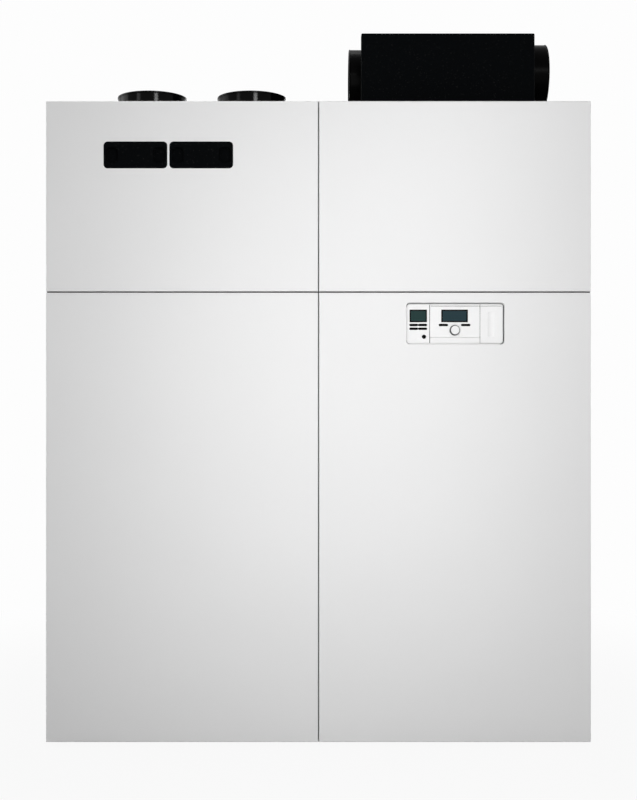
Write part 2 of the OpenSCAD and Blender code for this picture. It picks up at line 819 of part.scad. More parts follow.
// Duct box on the right column
module duct_box() {
  y1 = box_y0 + box_d;
  color(foam) difference() {
    translate([0, 0, cab_h]) linear_extrude(box_h) round_rect(box_x, box_y0, box_w, box_d, box_r);
    block([box_x - cut, box_y0 + waist_in, cab_h - cut], [waist_x, y1 - waist_in, cab_h + box_h + cut]);
    for (x = chamber_x)
      block([x[0], box_y0 + box_wall, cab_h - cut], [x[1], y1 - box_wall, cab_h + chamber_h]);
    rod_x(outdoor_y, spigot_cz, waist_x - cut, waist_x + box_wall + cut, spigot_r);
    rod_x(exhaust_y, spigot_cz, box_x + box_w - box_wall - cut, box_x + box_w + cut, spigot_r);
  }
}
module spigot(l) {
  difference() {
    union() {
      cylinder(h = box_wall + l - bead_r, r = spigot_r);
      translate([0, 0, box_wall + l - bead_r]) rotate_extrude() translate([spigot_r - bead_r + 1, 0])
        circle(bead_r);
      translate([0, 0, box_wall + l - bead_r]) cylinder(h = bead_r, r = spigot_r - bead_r + 1);
    }
    translate([0, 0, -cut]) cylinder(h = box_wall + l + 2 * cut, r = spigot_in);
  }
}
module outdoor_air_spigot() {
  color([0.05, 0.05, 0.05]) translate([waist_x + box_wall, outdoor_y, spigot_cz]) rotate([0, -90, 0])
    spigot(waist + outdoor_l);
}
module exhaust_air_spigot() {
  x = box_x + box_w - box_wall;
  color([0.05, 0.05, 0.05]) translate([x, exhaust_y, spigot_cz]) rotate([0, 90, 0]) spigot(exhaust_l);
}

// Ventilation unit in the upper left
module filter_slots(g) {
  for (x = filter_at) along_y(plug_y1, cassette_y1 + slot_gap)
    translate([x + filter_w / 2, filter_z + filter_h / 2])
    square([cassette_w + 2 * g, cassette_h + 2 * g], center = true);
}
module vent_front_plate() {
  difference() {
    block([vent_x0, vent_y0, z_deck], [vent_x0 + vent_w, vent_body_y, vent_top]);
    for (x = filter_at) along_y(vent_y0 - cut, plug_y1)
      round_rect(x - cover_gap, filter_z - cover_gap, filter_w + 2 * cover_gap, filter_h + 2 * cover_gap,
        filter_r);
    filter_slots(slot_gap);
  }
}
module air_chambers() {
  y0 = vent_body_y + duct_wall / 2;
  y1 = vent_body_y + core_l - duct_wall / 2;
  for (s = [-1, 1]) {
    x = [core_r * 0.56, vent_w / 2 - duct_wall, vent_fan_dx - vent_pocket_r + 24];
    translate([core_x, 0, 0]) mirror([s < 0 ? 1 : 0, 0, 0]) {
      block([x[0], y0, core_z + duct_wall / 2], [x[1], y1, filter_z - 2]);
      block([x[0], y0, z_deck + duct_wall], [x[2], y1, core_z - duct_wall / 2]);
    }
  }
  for (x = filter_at)
    block([x + window_in, y0, filter_z - 10],
      [x + filter_w - window_in, cassette_y1 - 12, filter_z + filter_h / 4]);
}
module vent_body() {
  difference() {
    block([vent_x0, vent_body_y, z_deck], [vent_x0 + vent_w, vent_y1, vent_top]);
    filter_slots(slot_gap);
    air_chambers();
    for (x = [supply_x, extract_x])
      rod_z(x, collar_y, filter_z + filter_h / 2, vent_top + cut, collar_r - shoulder);
    along_y(vent_body_y - cut, vent_body_y + core_l + cut) translate([core_x, core_z])
      circle(core_r + slot_gap, $fn = 6);
    for (s = [-1, 1])
      rod_y(core_x + s * vent_fan_dx, vent_fan_z, vent_body_y - cut, vent_body_y + vent_pocket_d,
        vent_pocket_r);
  }
}
module ventilation_housing() {
  color(foam) {
    vent_front_plate();
    vent_body();
  }
}
module exchanger_core() {
  plate_n = 24;
  pitch = (core_l - 6) / (plate_n - 1);
  y0 = vent_body_y;
  color([0.75, 0.8, 0.84]) {
    along_y(y0, y0 + core_l) translate([core_x, core_z]) circle(core_r - 6, $fn = 6);
    for (i = [0:plate_n - 1]) along_y(y0 + i * pitch, y0 + i * pitch + 6)
      translate([core_x, core_z]) circle(core_r, $fn = 6);
  }
}
module filter_cover(i) {
  x = filter_at[i];
  z = filter_z + (filter_h - grip_h) / 2;
  color(foam) difference() {
    along_y(plug_y0, plug_y1) round_rect(x, filter_z, filter_w, filter_h, filter_r);
    for (gx = [x + grip_in, x + filter_w - grip_in - grip_w])
      along_y(plug_y0 - cut, plug_y0 + grip_d) round_rect(gx, z, grip_w, grip_h, grip_r);
  }
}
module filter_cover_left() {
  filter_cover(0);
}
module filter_cover_right() {
  filter_cover(1);
}
module filter_cassette(i) {
  w = cassette_w;
  h = cassette_h;
  x = filter_at[i] + (filter_w - w) / 2;
  z = filter_z + (filter_h - h) / 2;
  rim = 4;
  pitch = (cassette_l - 2 * rim) / pleat_n;
  y0 = plug_y1 + rim;
  mat_t = 3;
  low = [for (k = [0:2 * pleat_n]) [y0 + k * pitch / 2, z + (k % 2 == 0 ? rim : h - rim - mat_t)]];
  high = [for (k = [2 * pleat_n:-1:0]) low[k] + [0, mat_t]];
  color([0.85, 0.87, 0.88]) {
    difference() {
      block([x, plug_y1, z], [x + w, cassette_y1, z + h]);
      block([x + rim, plug_y1 + rim, z - cut], [x + w - rim, cassette_y1 - rim, z + h + cut]);
    }
    along_x(x + rim / 2, x + w - rim / 2) polygon(concat(low, high));
  }
}
module filter_cassette_left() {
  filter_cassette(0);
}
module filter_cassette_right() {
  filter_cassette(1);
}

// A blade is one arc of a ring between the wheel's inner and outer radius
module blade(r_out, depth, t, arc_r, arc_x) {
  intersection() {
    ring(r_out, r_out - depth);
    translate([arc_x, 0]) ring(arc_r + t, arc_r);
    square(r_out);
  }
}
module vent_wheel(s) {
  r = vent_wheel_r;
  color([0.15, 0.15, 0.16]) translate([core_x + s * vent_fan_dx, vent_wheel_y + vent_wheel_w, vent_fan_z])
    rotate([90, 0, 0]) difference() {
      union() {
        cylinder(h = 3, r = r);
        cylinder(h = 26, r = 14);
        translate([0, 0, vent_wheel_w - 3]) linear_extrude(3) ring(r, r - 22);
        linear_extrude(vent_wheel_w) for (k = [0:15]) rotate(k * 360 / 16) blade(r - 1, 20, 1.6, 14, r - 12);
      }
      translate([0, 0, -cut]) cylinder(h = 24, r = vent_shaft_r + fit_gap);
    }
}
module supply_fan_wheel() {
  vent_wheel(-1);
}
module extract_fan_wheel() {
  vent_wheel(1);
}
module fan_motors() {
  color([0.3, 0.31, 0.33]) {
    for (s = [-1, 1]) {
      x = core_x + s * vent_fan_dx;
      rod_y(x, vent_fan_z, vent_motor_y, vent_body_y + vent_pocket_d, 40);
      rod_y(x, vent_fan_z, vent_wheel_y + vent_wheel_w - 20, vent_motor_y + cut, vent_shaft_r);
    }
    rod_y(fan_x, fan_z, scroll_y1, scroll_y1 + motor_l, motor_r);
    rod_y(fan_x, fan_z, scroll_y1, scroll_y1 + 4, motor_r + 12);
    rod_y(fan_x, fan_z, wheel_y1 - 60, scroll_y1 + cut, shaft_r);
    for (k = [0:11]) translate([fan_x, scroll_y1 + 10, fan_z]) rotate([0, k * 30, 0])
      translate([motor_r - 3, 0, -1.5]) cube([8, motor_l - 22, 3]);
  }
}

// Fan in a scroll housing: four arcs, each quarter wider than the last, run into the mouth
module scroll_outline(g, top) {
  intersection() {
    translate(sc1) circle(scroll_r1 + g);
    translate([sc1[0] - scroll_r1 - g, sc1[1]]) square([mouth_x0 - sc1[0] + scroll_r1 + g, scroll_r1 + g]);
  }
  intersection() {
    translate(sc2) circle(scroll_r2 + g);
    translate([sc2[0] - scroll_r2 - g, sc2[1] - scroll_r2 - g]) square(scroll_r2 + g);
  }
  intersection() {
    translate(sc3) circle(scroll_r3 + g);
    translate([sc3[0], sc3[1] - scroll_r3 - g]) square(scroll_r3 + g);
  }
  translate([mouth_x0 - g, sc3[1]]) square([mouth_x1 - mouth_x0 + 2 * g, top - sc3[1]]);
}
module fan_scroll() {
  foot_w = 30;
  color(zinc) {
    difference() {
      along_y(scroll_y0, scroll_y1) scroll_outline(scroll_t, z_cover);
      along_y(scroll_y0 + scroll_t, scroll_y1 - scroll_t) scroll_outline(0, z_cover + cut);
      rod_y(fan_x, fan_z, scroll_y0 - cut, scroll_y0 + scroll_t + cut, inlet_r);
      rod_y(fan_x, fan_z, scroll_y1 - scroll_t - cut, scroll_y1 + cut, shaft_r + 4);
    }
    translate([fan_x, scroll_y0 + scroll_t, fan_z]) rotate([90, 0, 0]) rotate_extrude()
      translate([inlet_r + 6, 0]) difference() {
        circle(6 + scroll_t);
        circle(6);
        translate([0, -10]) square(20);
        translate([-10, -20]) square(20);
      }
    for (x = [fan_x - 90, fan_x + 90], y = [scroll_y0, scroll_y1 - scroll_t])
      scroll_leg(x - foot_w / 2, x + foot_w / 2, y);
  }
}
module scroll_leg(x0, x1, y) {
  difference() {
    block([x0, y, z_deck], [x1, y + scroll_t, fan_z - 40]);
    along_y(y - cut, y + scroll_t + cut) scroll_outline(0, z_cover);
  }
  block([x0, y - (y > fan_y ? 0 : 18), z_deck], [x1, y + scroll_t + (y > fan_y ? 18 : 0), z_deck + scroll_t]);
}
module fan_wheel() {
  arc = blade_d * 0.62;
  color([0.18, 0.18, 0.2]) translate([fan_x, wheel_y1, fan_z]) rotate([90, 0, 0]) difference() {
    union() {
      cylinder(h = 3, r = wheel_r);
      cylinder(h = 62, r = hub_r);
      translate([0, 0, wheel_w - 4]) linear_extrude(4) ring(wheel_r, wheel_r - blade_d);
      translate([0, 0, wheel_w / 2 - 2]) linear_extrude(4) ring(wheel_r, wheel_r - blade_d * 0.4);
      linear_extrude(wheel_w) for (k = [0:blade_n - 1]) rotate(k * 360 / blade_n)
        blade(wheel_r - 1, blade_d - 2, blade_t, arc, wheel_r - blade_d / 2);
    }
    translate([0, 0, -cut]) cylinder(h = 61, r = shaft_r + fit_gap);
  }
}

// Evaporator, with fins on a tube pack and return bends at both ends
module evaporator() {
  fin_n = floor(coil_l / fin_pitch);
  fin_t = 2;
  core = 12;
  x1 = coil_x + coil_t;
  xm = coil_x + coil_t / 2;
  left = [for (k = [0:fin_n - 1], s = [0:3]) let (y = coil_y0 + k * fin_pitch)
    [s == 0 || s == 3 ? xm - core / 2 : coil_x, y + (s < 2 ? 0 : fin_t)]];
  right = [for (p = left) [2 * xm - p[0], p[1]]];
  n = len(left);
  color([0.7, 0.72, 0.74]) {
    translate([0, 0, coil_z + 4]) linear_extrude(coil_h - 8)
      polygon(concat(left, [for (k = [n - 1:-1:0]) right[k]]));
    for (y = [coil_y0 - 2, coil_y0 + (fin_n - 1) * fin_pitch + fin_t])
      block([coil_x - 3, y, coil_z], [x1 + 3, y + 2, coil_z + coil_h]);
    for (z = [coil_z, coil_z + coil_h - 4])
      block([coil_x, coil_y0, z], [x1, coil_y0 + (fin_n - 1) * fin_pitch + fin_t, z + 4]);
    for (k = [0:bend_n - 1], x = [xm - 14, xm + 14]) {
      z = coil_z + (k + 0.5) * coil_h / bend_n;
      translate([x, coil_y0 - 2, z]) rotate([0, 90, 0]) rotate([0, 0, 180]) rotate_extrude(angle = 180)
        translate([coil_h / bend_n / 4, 0]) circle(tube_r);
      translate([x, coil_y0 + (fin_n - 1) * fin_pitch + fin_t + 2, z]) rotate([0, 90, 0])
        rotate_extrude(angle = 180)
        translate([coil_h / bend_n / 4, 0]) circle(tube_r);
    }
  }
}
module condensate_tray() {
  y0 = coil_y0 - 34;
  y1 = -y0;
  t = 3;
  color([0.25, 0.26, 0.28]) difference() {
    union() {
      difference() {
        block([tray_x, y0, z_deck], [tray_x + tray_w, y1, z_deck + tray_rim]);
        block([tray_x + t, y0 + t, z_deck + t], [tray_x + tray_w - t, y1 - t, z_deck + tray_rim + cut]);
      }
      for (k = [-2:2]) block([tray_x + t, k * 120 - 3, z_deck], [tray_x + tray_w - t, k * 120 + 3, coil_z]);
      rod_z(drain_x, drain_y, z_under - 26, z_deck + t, drain_r);
    }
    rod_z(drain_x, drain_y, z_under - 27, z_deck + t + cut, drain_r - 2);
  }
}

// Compressor with its accumulator
module vessel_shape(r, h, crown) {
  rotate_extrude() intersection() {
    union() {
      translate([0, crown]) square([r, h - 2 * crown]);
      for (z = [crown, h - crown]) translate([r - crown, z]) circle(crown);
      square([r - crown, h]);
    }
    square([r, h]);
  }
}
module hollow_vessel(p, r, h, crown, wall) {
  translate(p) difference() {
    vessel_shape(r, h, crown);
    translate([0, 0, wall]) vessel_shape(r - wall, h - 2 * wall, crown - wall);
  }
}
module compressor() {
  color([0.12, 0.13, 0.15]) {
    hollow_vessel([comp_x, comp_y, comp_z], comp_r, comp_h, 34, 10);
    difference() {
      union() {
        rod_z(comp_x, comp_y, comp_z - 4, comp_z + 1, comp_r + 8);
        for (a = mount_angles) rod_z(mount_at(a)[0], mount_at(a)[1], comp_z - 4, comp_z + 1, 19);
      }
      for (a = mount_angles) rod_z(mount_at(a)[0], mount_at(a)[1], comp_z - 5, comp_z + 2, 5);
    }
    hollow_vessel([acc_x, comp_y, acc_z], acc_r, acc_h, 24, 3);
    for (z = [acc_z + 60, acc_z + acc_h - 60])
      block([acc_x, comp_y - 14, z - 8], [comp_x - comp_r + 10, comp_y + 14, z + 8]);
    rod_z(comp_x, comp_y, comp_top - 4, comp_top + 24, gas_r + 3);
    rod_z(acc_x, comp_y, acc_z + acc_h - 4, acc_z + acc_h + 14, gas_r + 3);
    block([comp_x + comp_r - 12, comp_y - 32, comp_top - 150],
      [comp_x + comp_r + 26, comp_y + 32, comp_top - 70]);
  }
}
module compressor_mounts() {
  color([0.08, 0.08, 0.08]) for (a = mount_angles)
    translate([mount_at(a)[0], mount_at(a)[1], z_base]) rotate_extrude() polygon([
      [0, 0], [16, 0], [16, mount_h * 0.3], [12, mount_h * 0.4], [12, mount_h * 0.6], [16, mount_h * 0.7],
      [16, mount_h], [0, mount_h]
    ]);
}
module condenser() {
  x0 = cond_x - cond_w / 2;
  x1 = cond_x + cond_w / 2;
  plate_n = 11;
  pitch = cond_d / plate_n;
  color([0.66, 0.68, 0.7]) {
    along_y(cond_y0, cond_y0 + cond_d) round_rect(x0 + 3, cond_z + 3, cond_w - 6, cond_h - 6, 16);
    for (k = [0:plate_n - 1]) along_y(cond_y0 + k * pitch, cond_y0 + k * pitch + pitch / 2)
      round_rect(x0, cond_z, cond_w, cond_h, 18);
    for (z = cond_water_z) {
      rod_y(cond_x - cond_port_dx, z, z == cond_water_z[0] ? cond_y0 + cond_d - 4 : cond_y0 - 24,
        z == cond_water_z[0] ? cond_y0 + cond_d + 24 : cond_y0 + 4, heat_r + 3);
    }
    rod_y(liquid_x, cond_water_z[0], cond_y0 - 20, cond_y0 + 4, liquid_r + 3);
    rod_z(cond_x, cond_y0 + cond_d / 2, cond_z + cond_h - 6, cond_z + cond_h + 18, gas_r + 3);
    for (x = [x0 + 14, x1 - 20]) {
      block([x, cond_y0 + 6, z_base], [x + 6, cond_y0 + cond_d - 6, cond_z + 10]);
      block([x - 12, cond_y0 - 4, z_base], [x + 18, cond_y0 + cond_d + 4, z_base + 3]);
    }
  }
}
module refrigerant_valves() {
  color([0.8, 0.62, 0.3]) {
    rod_x(comp_y, valve_z, comp_x - valve_l / 2, comp_x + valve_l / 2, valve_r);
    rod_z(comp_x, comp_y, valve_z - valve_r - port_h, valve_z, gas_r + 2);
    for (k = [-1:1]) rod_z(comp_x + k * port_dx, comp_y, valve_z, valve_z + valve_r + port_h, gas_r + 2);
    rod_x(comp_y - valve_r - 8, valve_z, comp_x - 40, comp_x + 40, 10);
    translate([liquid_x, liquid_route_y, drier_z]) vessel_shape(drier_r, drier_l, 14);
    rod_z(liquid_x, liquid_route_y, xv_z, xv_z + xv_h, xv_r);
    rod_x(liquid_route_y, xv_z + xv_h / 2, liquid_x, liquid_x + 34, 10);
    rod_x(liquid_route_y, xv_z + xv_h / 2, liquid_x + 34, liquid_x + 60, 20);
  }
}
module refrigerant_pipes() {
  x = comp_x;
  y = comp_y;
  low_liquid = [
    [liquid_x, cond_y0 - 20, cond_water_z[0]], [liquid_x, liquid_route_y, cond_water_z[0]],
    [liquid_x, liquid_route_y, drier_z]
  ];
  suction = [
    [x, y, valve_z + valve_r + port_h], [x, y, suction_z], [acc_x, y, suction_z],
    [acc_x, y, acc_z + acc_h + 14]
  ];
  cy = cond_y0 + cond_d / 2;
  hot_gas = [
    [x + port_dx, y, valve_z + valve_r + port_h], [x + port_dx, y, hot_gas_z], [x + port_dx, cy, hot_gas_z],
    [cond_x, cy, hot_gas_z], [cond_x, cy, cond_z + cond_h + 18]
  ];
  color(copper) {
    pipe_run([[x, y, comp_top + 24], [x, y, valve_z - valve_r - port_h]], gas_r, gas_bend);
    pipe_run(suction, gas_r, gas_bend);
    pipe_run(hot_gas, gas_r, gas_bend);
    pipe_run(evap_gas_route, gas_r, gas_bend);
    pipe_run(low_liquid, liquid_r, liquid_bend);
    pipe_run([[liquid_x, liquid_route_y, drier_z + drier_l],
      [liquid_x, liquid_route_y, xv_z]], liquid_r, liquid_bend);
    pipe_run(liquid_top, liquid_r, liquid_bend);
  }
}

// Hot water cylinder in the lower left
module hot_water_cylinder() {
  color([0.86, 0.87, 0.88]) {
    difference() {
      union() {
        translate([tank_x, 0, tank_z]) vessel_shape(tank_r, tank_h, 40);
        rod_z(tank_x, 0, z_base, tank_z + 2, tank_r - 50);
        rod_y(tank_x, flange_z, -tank_r - 6, -tank_r + 60, flange_r);
        rod_x(100, return_z, tank_x + tank_r - 40, tank_x + tank_r + 20, heat_r + 4);
        rod_x(water_y, tank_port_z[1], tank_x + tank_r - 40, tank_x + tank_r + 20, heat_r + 4);
        for (p = [[tank_x - 60, tank_z + 75, tap_r], [loop_x, loop_z, loop_r]])
          rod_y(p[0], p[1], tank_r - 40, tank_r + 8, p[2] + 4);
        rod_z(tank_x, 0, tank_z + tank_h - 5, hot_z, tap_r + 4);
        rod_z(tank_x - 130, 0, tank_z + tank_h - 5, tank_z + tank_h + 22, 20);
      }
    }
    for (k = [0:7])
      rod_y(tank_x + bolt_ring * cos(k * 45), flange_z + bolt_ring * sin(k * 45), -tank_r - 12, -tank_r, 7);
    rod_y(tank_x, probe_z, -tank_r - 5, -tank_r + 30, 24);
  }
}
module circulation_pump() {
  color([0.16, 0.3, 0.26]) {
    rod_z(pump_x, water_y, pump_z, pump_z + pump_h, heat_r + 5);
    for (z = [pump_z, pump_z + pump_h - 18]) translate([pump_x, water_y, z])
      cylinder(h = 18, r = heat_r + 11, $fn = 6);
    rod_y(pump_x, pump_z + pump_h / 2, rotor_y, water_y + 26, volute_r);
    rod_y(pump_x, pump_z + pump_h / 2, driver_y - 2, rotor_y + 4, rotor_r);
    block([pump_x - rotor_r - 6, driver_y - driver_d, pump_z + pump_h / 2 - rotor_r],
      [pump_x + rotor_r + 6, driver_y + 4, pump_z + pump_h / 2 + rotor_r]);
  }
}
module diverter_valve() {
  z = div_z + div_h / 2;
  color([0.78, 0.62, 0.34]) {
    rod_z(pump_x, water_y, div_z, div_z + div_h + 6, heat_r + 5);
    rod_x(water_y, z, pump_x - 34, pump_x, heat_r + 4);
    rod_y(pump_x, z, water_y, water_y + heat_r + 6, heat_r + 3);
  }
  color([0.2, 0.2, 0.22])
    block([pump_x - 32, water_y - 24, div_z + div_h + 6], [pump_x + 32, water_y + 24, div_z + div_h + 76]);
}
module expansion_vessel() {
  color([0.62, 0.13, 0.1]) {
    hollow_vessel([vessel_x, vessel_y, z_base + 30], vessel_r, vessel_h, 50, 3);
    rod_z(vessel_x, vessel_y, z_base, z_base + 31, vessel_r - 52);
    rod_z(vessel_x, vessel_y, z_base + 30 + vessel_h - 2, z_base + 30 + vessel_h + 16, loop_r + 4);
    translate([vessel_x, vessel_y, z_base + 27 + vessel_h / 2]) linear_extrude(6)
      ring(vessel_r + 3, vessel_r - 1);
  }
}
module water_pipes() {
  vz = z_base + 30 + vessel_h + 16;
  link_z = vz + 70;
  to_tank = [[pump_x - 34, water_y, tank_port_z[1]], [tank_x + tank_r + 20, water_y, tank_port_z[1]]];
  to_pump = [
    [pump_x, cond_y0 - 24, cond_water_z[1]], [pump_x, water_y, cond_water_z[1]], [pump_x, water_y, pump_z]
  ];
  vessel_link = [
    [vessel_x, vessel_y, vz], [vessel_x, vessel_y, link_z], [vessel_x, heat_riser_y, link_z],
    [return_x, heat_riser_y, link_z]
  ];
  color(copper) {
    pipe_run(to_tank, heat_r, heat_bend);
    pipe_run(to_pump, heat_r, heat_bend);
    pipe_run([[pump_x, water_y, pump_z + pump_h], [pump_x, water_y, div_z]], heat_r, heat_bend);
    pipe_run(flow_route, heat_r, heat_bend);
    pipe_run(return_route, heat_r, heat_bend);
    pipe_run([[pump_x, cond_y0 + cond_d + 24, return_z],
      [pump_x, heat_riser_y, return_z]], heat_r, heat_bend);
    pipe_run(cold_route, tap_r, tap_bend);
    pipe_run(hot_route, tap_r, tap_bend);
    pipe_run(loop_route, loop_r, tap_bend);
    pipe_run(vessel_link, loop_r, tap_bend);
    for (x = [flow_x, return_x]) riser_rosette(x, heat_riser_y, heat_r);
    for (x = [cold_x, hot_x]) riser_rosette(x, riser_y, tap_r);
    riser_rosette(loop_x, riser_y, loop_r);
  }
}

// Electronics box and control console
module electronics_box() {
  x0 = elec_x;
  x1 = elec_x + elec_w;
  color([0.72, 0.73, 0.74]) difference() {
    block([x0, con_back, z_under - elec_h], [x1, con_back + elec_d, z_under]);
    block([x0 + 6, con_back + 6, z_under - elec_h + 6], [x1 - 6, con_back + elec_d - 6, z_under - 6]);
    for (k = [0:11], x = [x0 + 40 + k * 36])
      block([x, con_back - cut, z_under - elec_h + 20], [x + 18, con_back + 4, z_under - elec_h + 110]);
  }
}
module key_cut(x, z, l) {
  along_y(con_y - cut, key_floor)
    round_rect(x - key_gap, z - key_h / 2 - key_gap, l + 2 * key_gap, key_h + 2 * key_gap,
      key_h / 2 + key_gap - 0.01);
}
module key_body(x, z, l) {
  along_y(con_y - key_proud, con_y + key_deep) round_rect(x, z - key_h / 2, l, key_h, key_h / 2 - 0.01);
}
module control_console() {
  color(white) difference() {
    along_y(con_y, con_back) round_rect(con_x, con_z, con_w, con_h, con_r);
    block([ctl_x, con_y - cut, ctl_z], [ctl_x + ctl_w, ctl_y1, ctl_z + ctl_h]);
    block([blank_x, con_y - cut, con_z + 2], [blank_x1, ctl_y1, blank_top]);
    for (g = [[ctl_x, groove_w[0]], [blank_x, groove_w[1]]])
      block([g[0] - g[1] / 2, con_y - cut, con_z - cut],
        [g[0] + g[1] / 2, con_y + groove_d, con_z + con_h + cut]);
    block([lens_x[0], con_y - cut, lens_z], [lens_x[0] + lens_w[0], con_y + glass_t, lens_z + lens_h]);
    for (x = key_col, z = key_row) key_cut(x, z, key_l);
    rod_y(reset_x, reset_z, con_y - cut, key_floor, reset_r + key_gap);
  }
}
module display_windows() {
  color([0.08, 0.1, 0.11]) for (i = [0, 1])
    block([lens_x[i], con_y, lens_z], [lens_x[i] + lens_w[i], con_y + glass_t, lens_z + lens_h]);
}
module menu_key(i) {
  color([0.2, 0.24, 0.28]) key_body(key_col[i % 2], key_row[floor(i / 2)], key_l);
}
module reset_button() {
  color([0.12, 0.12, 0.13]) rod_y(reset_x, reset_z, con_y - key_proud, con_y + key_deep, reset_r);
}
module controller_housing() {
  color(white) difference() {
    along_y(con_y, ctl_y1)
      round_rect(ctl_x + ctl_gap, ctl_z + ctl_gap, ctl_w - 2 * ctl_gap, ctl_h - 2 * ctl_gap, 3);
    block([lens_x[1], con_y - cut, lens_z], [lens_x[1] + lens_w[1], con_y + glass_t, lens_z + lens_h]);
    for (x = soft_x) key_cut(x, soft_z, soft_l);
    rod_y(knob_x, knob_z, con_y - cut, con_y + 5, knob_r + knob_gap);
    rod_y(knob_x, knob_z, con_y - cut, con_y + 11, spindle_r + fit_gap);
  }
}
module soft_key(i) {
  color([0.2, 0.24, 0.28]) key_body(soft_x[i], soft_z, soft_l);
}
module rotary_knob() {
  color(white) {
    difference() {
      rod_y(knob_x, knob_z, con_y - knob_h, con_y + 2, knob_r);
      translate([knob_x, con_y - knob_h, knob_z]) rotate([-90, 0, 0]) linear_extrude(1)
        ring(knob_r - 3, knob_r - 4);
    }
    rod_y(knob_x, knob_z, con_y + 1, con_y + 10, spindle_r);
  }
}
module blank_cover() {
  x0 = blank_x + ctl_gap;
  x1 = blank_x1 - ctl_gap;
  z0 = con_z + 2 + ctl_gap;
  color(white) difference() {
    along_y(con_y, ctl_y1) round_rect(x0, z0, x1 - x0, blank_top - ctl_gap - z0, 2);
    rod_z((x0 + x1) / 2, con_y - 28, z0 + 18, blank_top - 18, 30);
  }
}

base_frame();
frame_posts();
centre_partition();
mid_deck();
levelling_foot(1);  // levelling_foot_1
levelling_foot(2);  // levelling_foot_2
levelling_foot(3);  // levelling_foot_3
levelling_foot(4);  // levelling_foot_4
side_panel_left();
side_panel_right();
rear_panel();
top_cover_left();
top_cover_right();
casing_screws();
front_panel_upper_left();
front_panel_upper_right();
front_panel_lower_left();
front_panel_lower_right();
supply_air_collar();
extract_air_collar();
collar_seals();
duct_box();
outdoor_air_spigot();
exhaust_air_spigot();
ventilation_housing();
exchanger_core();
filter_cover_left();
filter_cover_right();
filter_cassette_left();
filter_cassette_right();
supply_fan_wheel();
extract_fan_wheel();
fan_motors();
evaporator();
condensate_tray();
fan_scroll();
fan_wheel();
compressor();
compressor_mounts();
condenser();
refrigerant_valves();
refrigerant_pipes();
hot_water_cylinder();
circulation_pump();
diverter_valve();
expansion_vessel();
water_pipes();
electronics_box();
control_console();
display_windows();
menu_key(0);  // key_1
menu_key(1);  // key_2
menu_key(2);  // key_3
menu_key(3);  // key_4
reset_button();
controller_housing();
soft_key(0);  // soft_key_left
soft_key(1);  // soft_key_right
rotary_knob();
blank_cover();
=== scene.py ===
# %% [markdown]
# # Dressing an indoor heat pump
# The real object is a wide white cabinet with four sheet steel front panels, a small control console,
# two black duct sockets on the left of its top and a black foam duct box on the right.
# Its construction is already made: every panel, pipe and fan is a part at its real size and place.
# This lesson gives those parts the surfaces of the real ones and adds what only a close look shows.
# The first step loads the construction as a fixed frame and notes its outer box.

# %% Load the construction
import json
import math
import bmesh
import bpy
from mathutils import Matrix, Vector

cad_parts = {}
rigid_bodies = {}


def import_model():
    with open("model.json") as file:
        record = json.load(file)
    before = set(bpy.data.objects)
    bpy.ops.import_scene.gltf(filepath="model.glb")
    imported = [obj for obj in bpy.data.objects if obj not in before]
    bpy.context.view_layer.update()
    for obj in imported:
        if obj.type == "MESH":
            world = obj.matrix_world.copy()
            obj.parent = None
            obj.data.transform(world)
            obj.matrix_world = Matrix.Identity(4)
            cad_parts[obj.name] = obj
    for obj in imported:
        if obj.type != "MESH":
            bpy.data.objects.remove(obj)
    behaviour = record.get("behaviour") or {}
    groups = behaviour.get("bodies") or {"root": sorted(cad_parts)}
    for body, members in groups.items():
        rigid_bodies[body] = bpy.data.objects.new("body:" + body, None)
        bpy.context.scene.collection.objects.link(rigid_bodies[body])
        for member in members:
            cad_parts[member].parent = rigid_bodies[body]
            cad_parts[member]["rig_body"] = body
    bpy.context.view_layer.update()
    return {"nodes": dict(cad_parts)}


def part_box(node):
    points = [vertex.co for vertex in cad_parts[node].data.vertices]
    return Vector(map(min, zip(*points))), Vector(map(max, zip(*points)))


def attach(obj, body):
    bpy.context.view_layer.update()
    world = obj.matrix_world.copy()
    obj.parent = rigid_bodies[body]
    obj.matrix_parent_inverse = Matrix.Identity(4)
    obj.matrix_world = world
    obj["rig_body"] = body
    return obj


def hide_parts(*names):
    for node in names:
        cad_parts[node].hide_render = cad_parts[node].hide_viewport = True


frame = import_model()
nodes = frame["nodes"]
print("parts in the construction:", len(nodes))

# %% [markdown]
# ## The camera
# The photograph was taken straight from the front, with the lens about halfway up the cabinet.
# A view like that keeps the panel edges upright, so the camera looks level along +Y and isn't shifted.
# The focal length is worked out from how many pixels one radian spans in the 800 pixel tall picture.

# %% Camera at the photograph's place
PICTURE_HIGH = 800
PIXELS_PER_RADIAN = 1252
SENSOR = 36
EYE_DISTANCE = 3.651
EYE_HEIGHT = 1.008
front_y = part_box("front_panel_upper_left")[0].y

lens = bpy.data.cameras.new("photo_lens")
lens.sensor_width = SENSOR
lens.lens = SENSOR * PIXELS_PER_RADIAN / PICTURE_HIGH
camera = bpy.data.objects.new("photo_camera", lens)
camera.location = (0, front_y - EYE_DISTANCE, EYE_HEIGHT)
camera.rotation_euler = (math.radians(90), 0, 0)
bpy.context.collection.objects.link(camera)
bpy.context.scene.camera = camera
print("focal length in millimetres:", round(lens.lens, 1))

# %% [markdown]
# ## Shader maths as plain Python
# A finish is a small tree of nodes, and most of its nodes are sums and products.
# Linking them by hand hides what they work out. So one class wraps a socket and lends it Python's
# operators, and a second class holds the material and adds any other kind of node.
# Every pattern lies in object coordinates, which are metres, so its scale counts waves or cells to the metre.

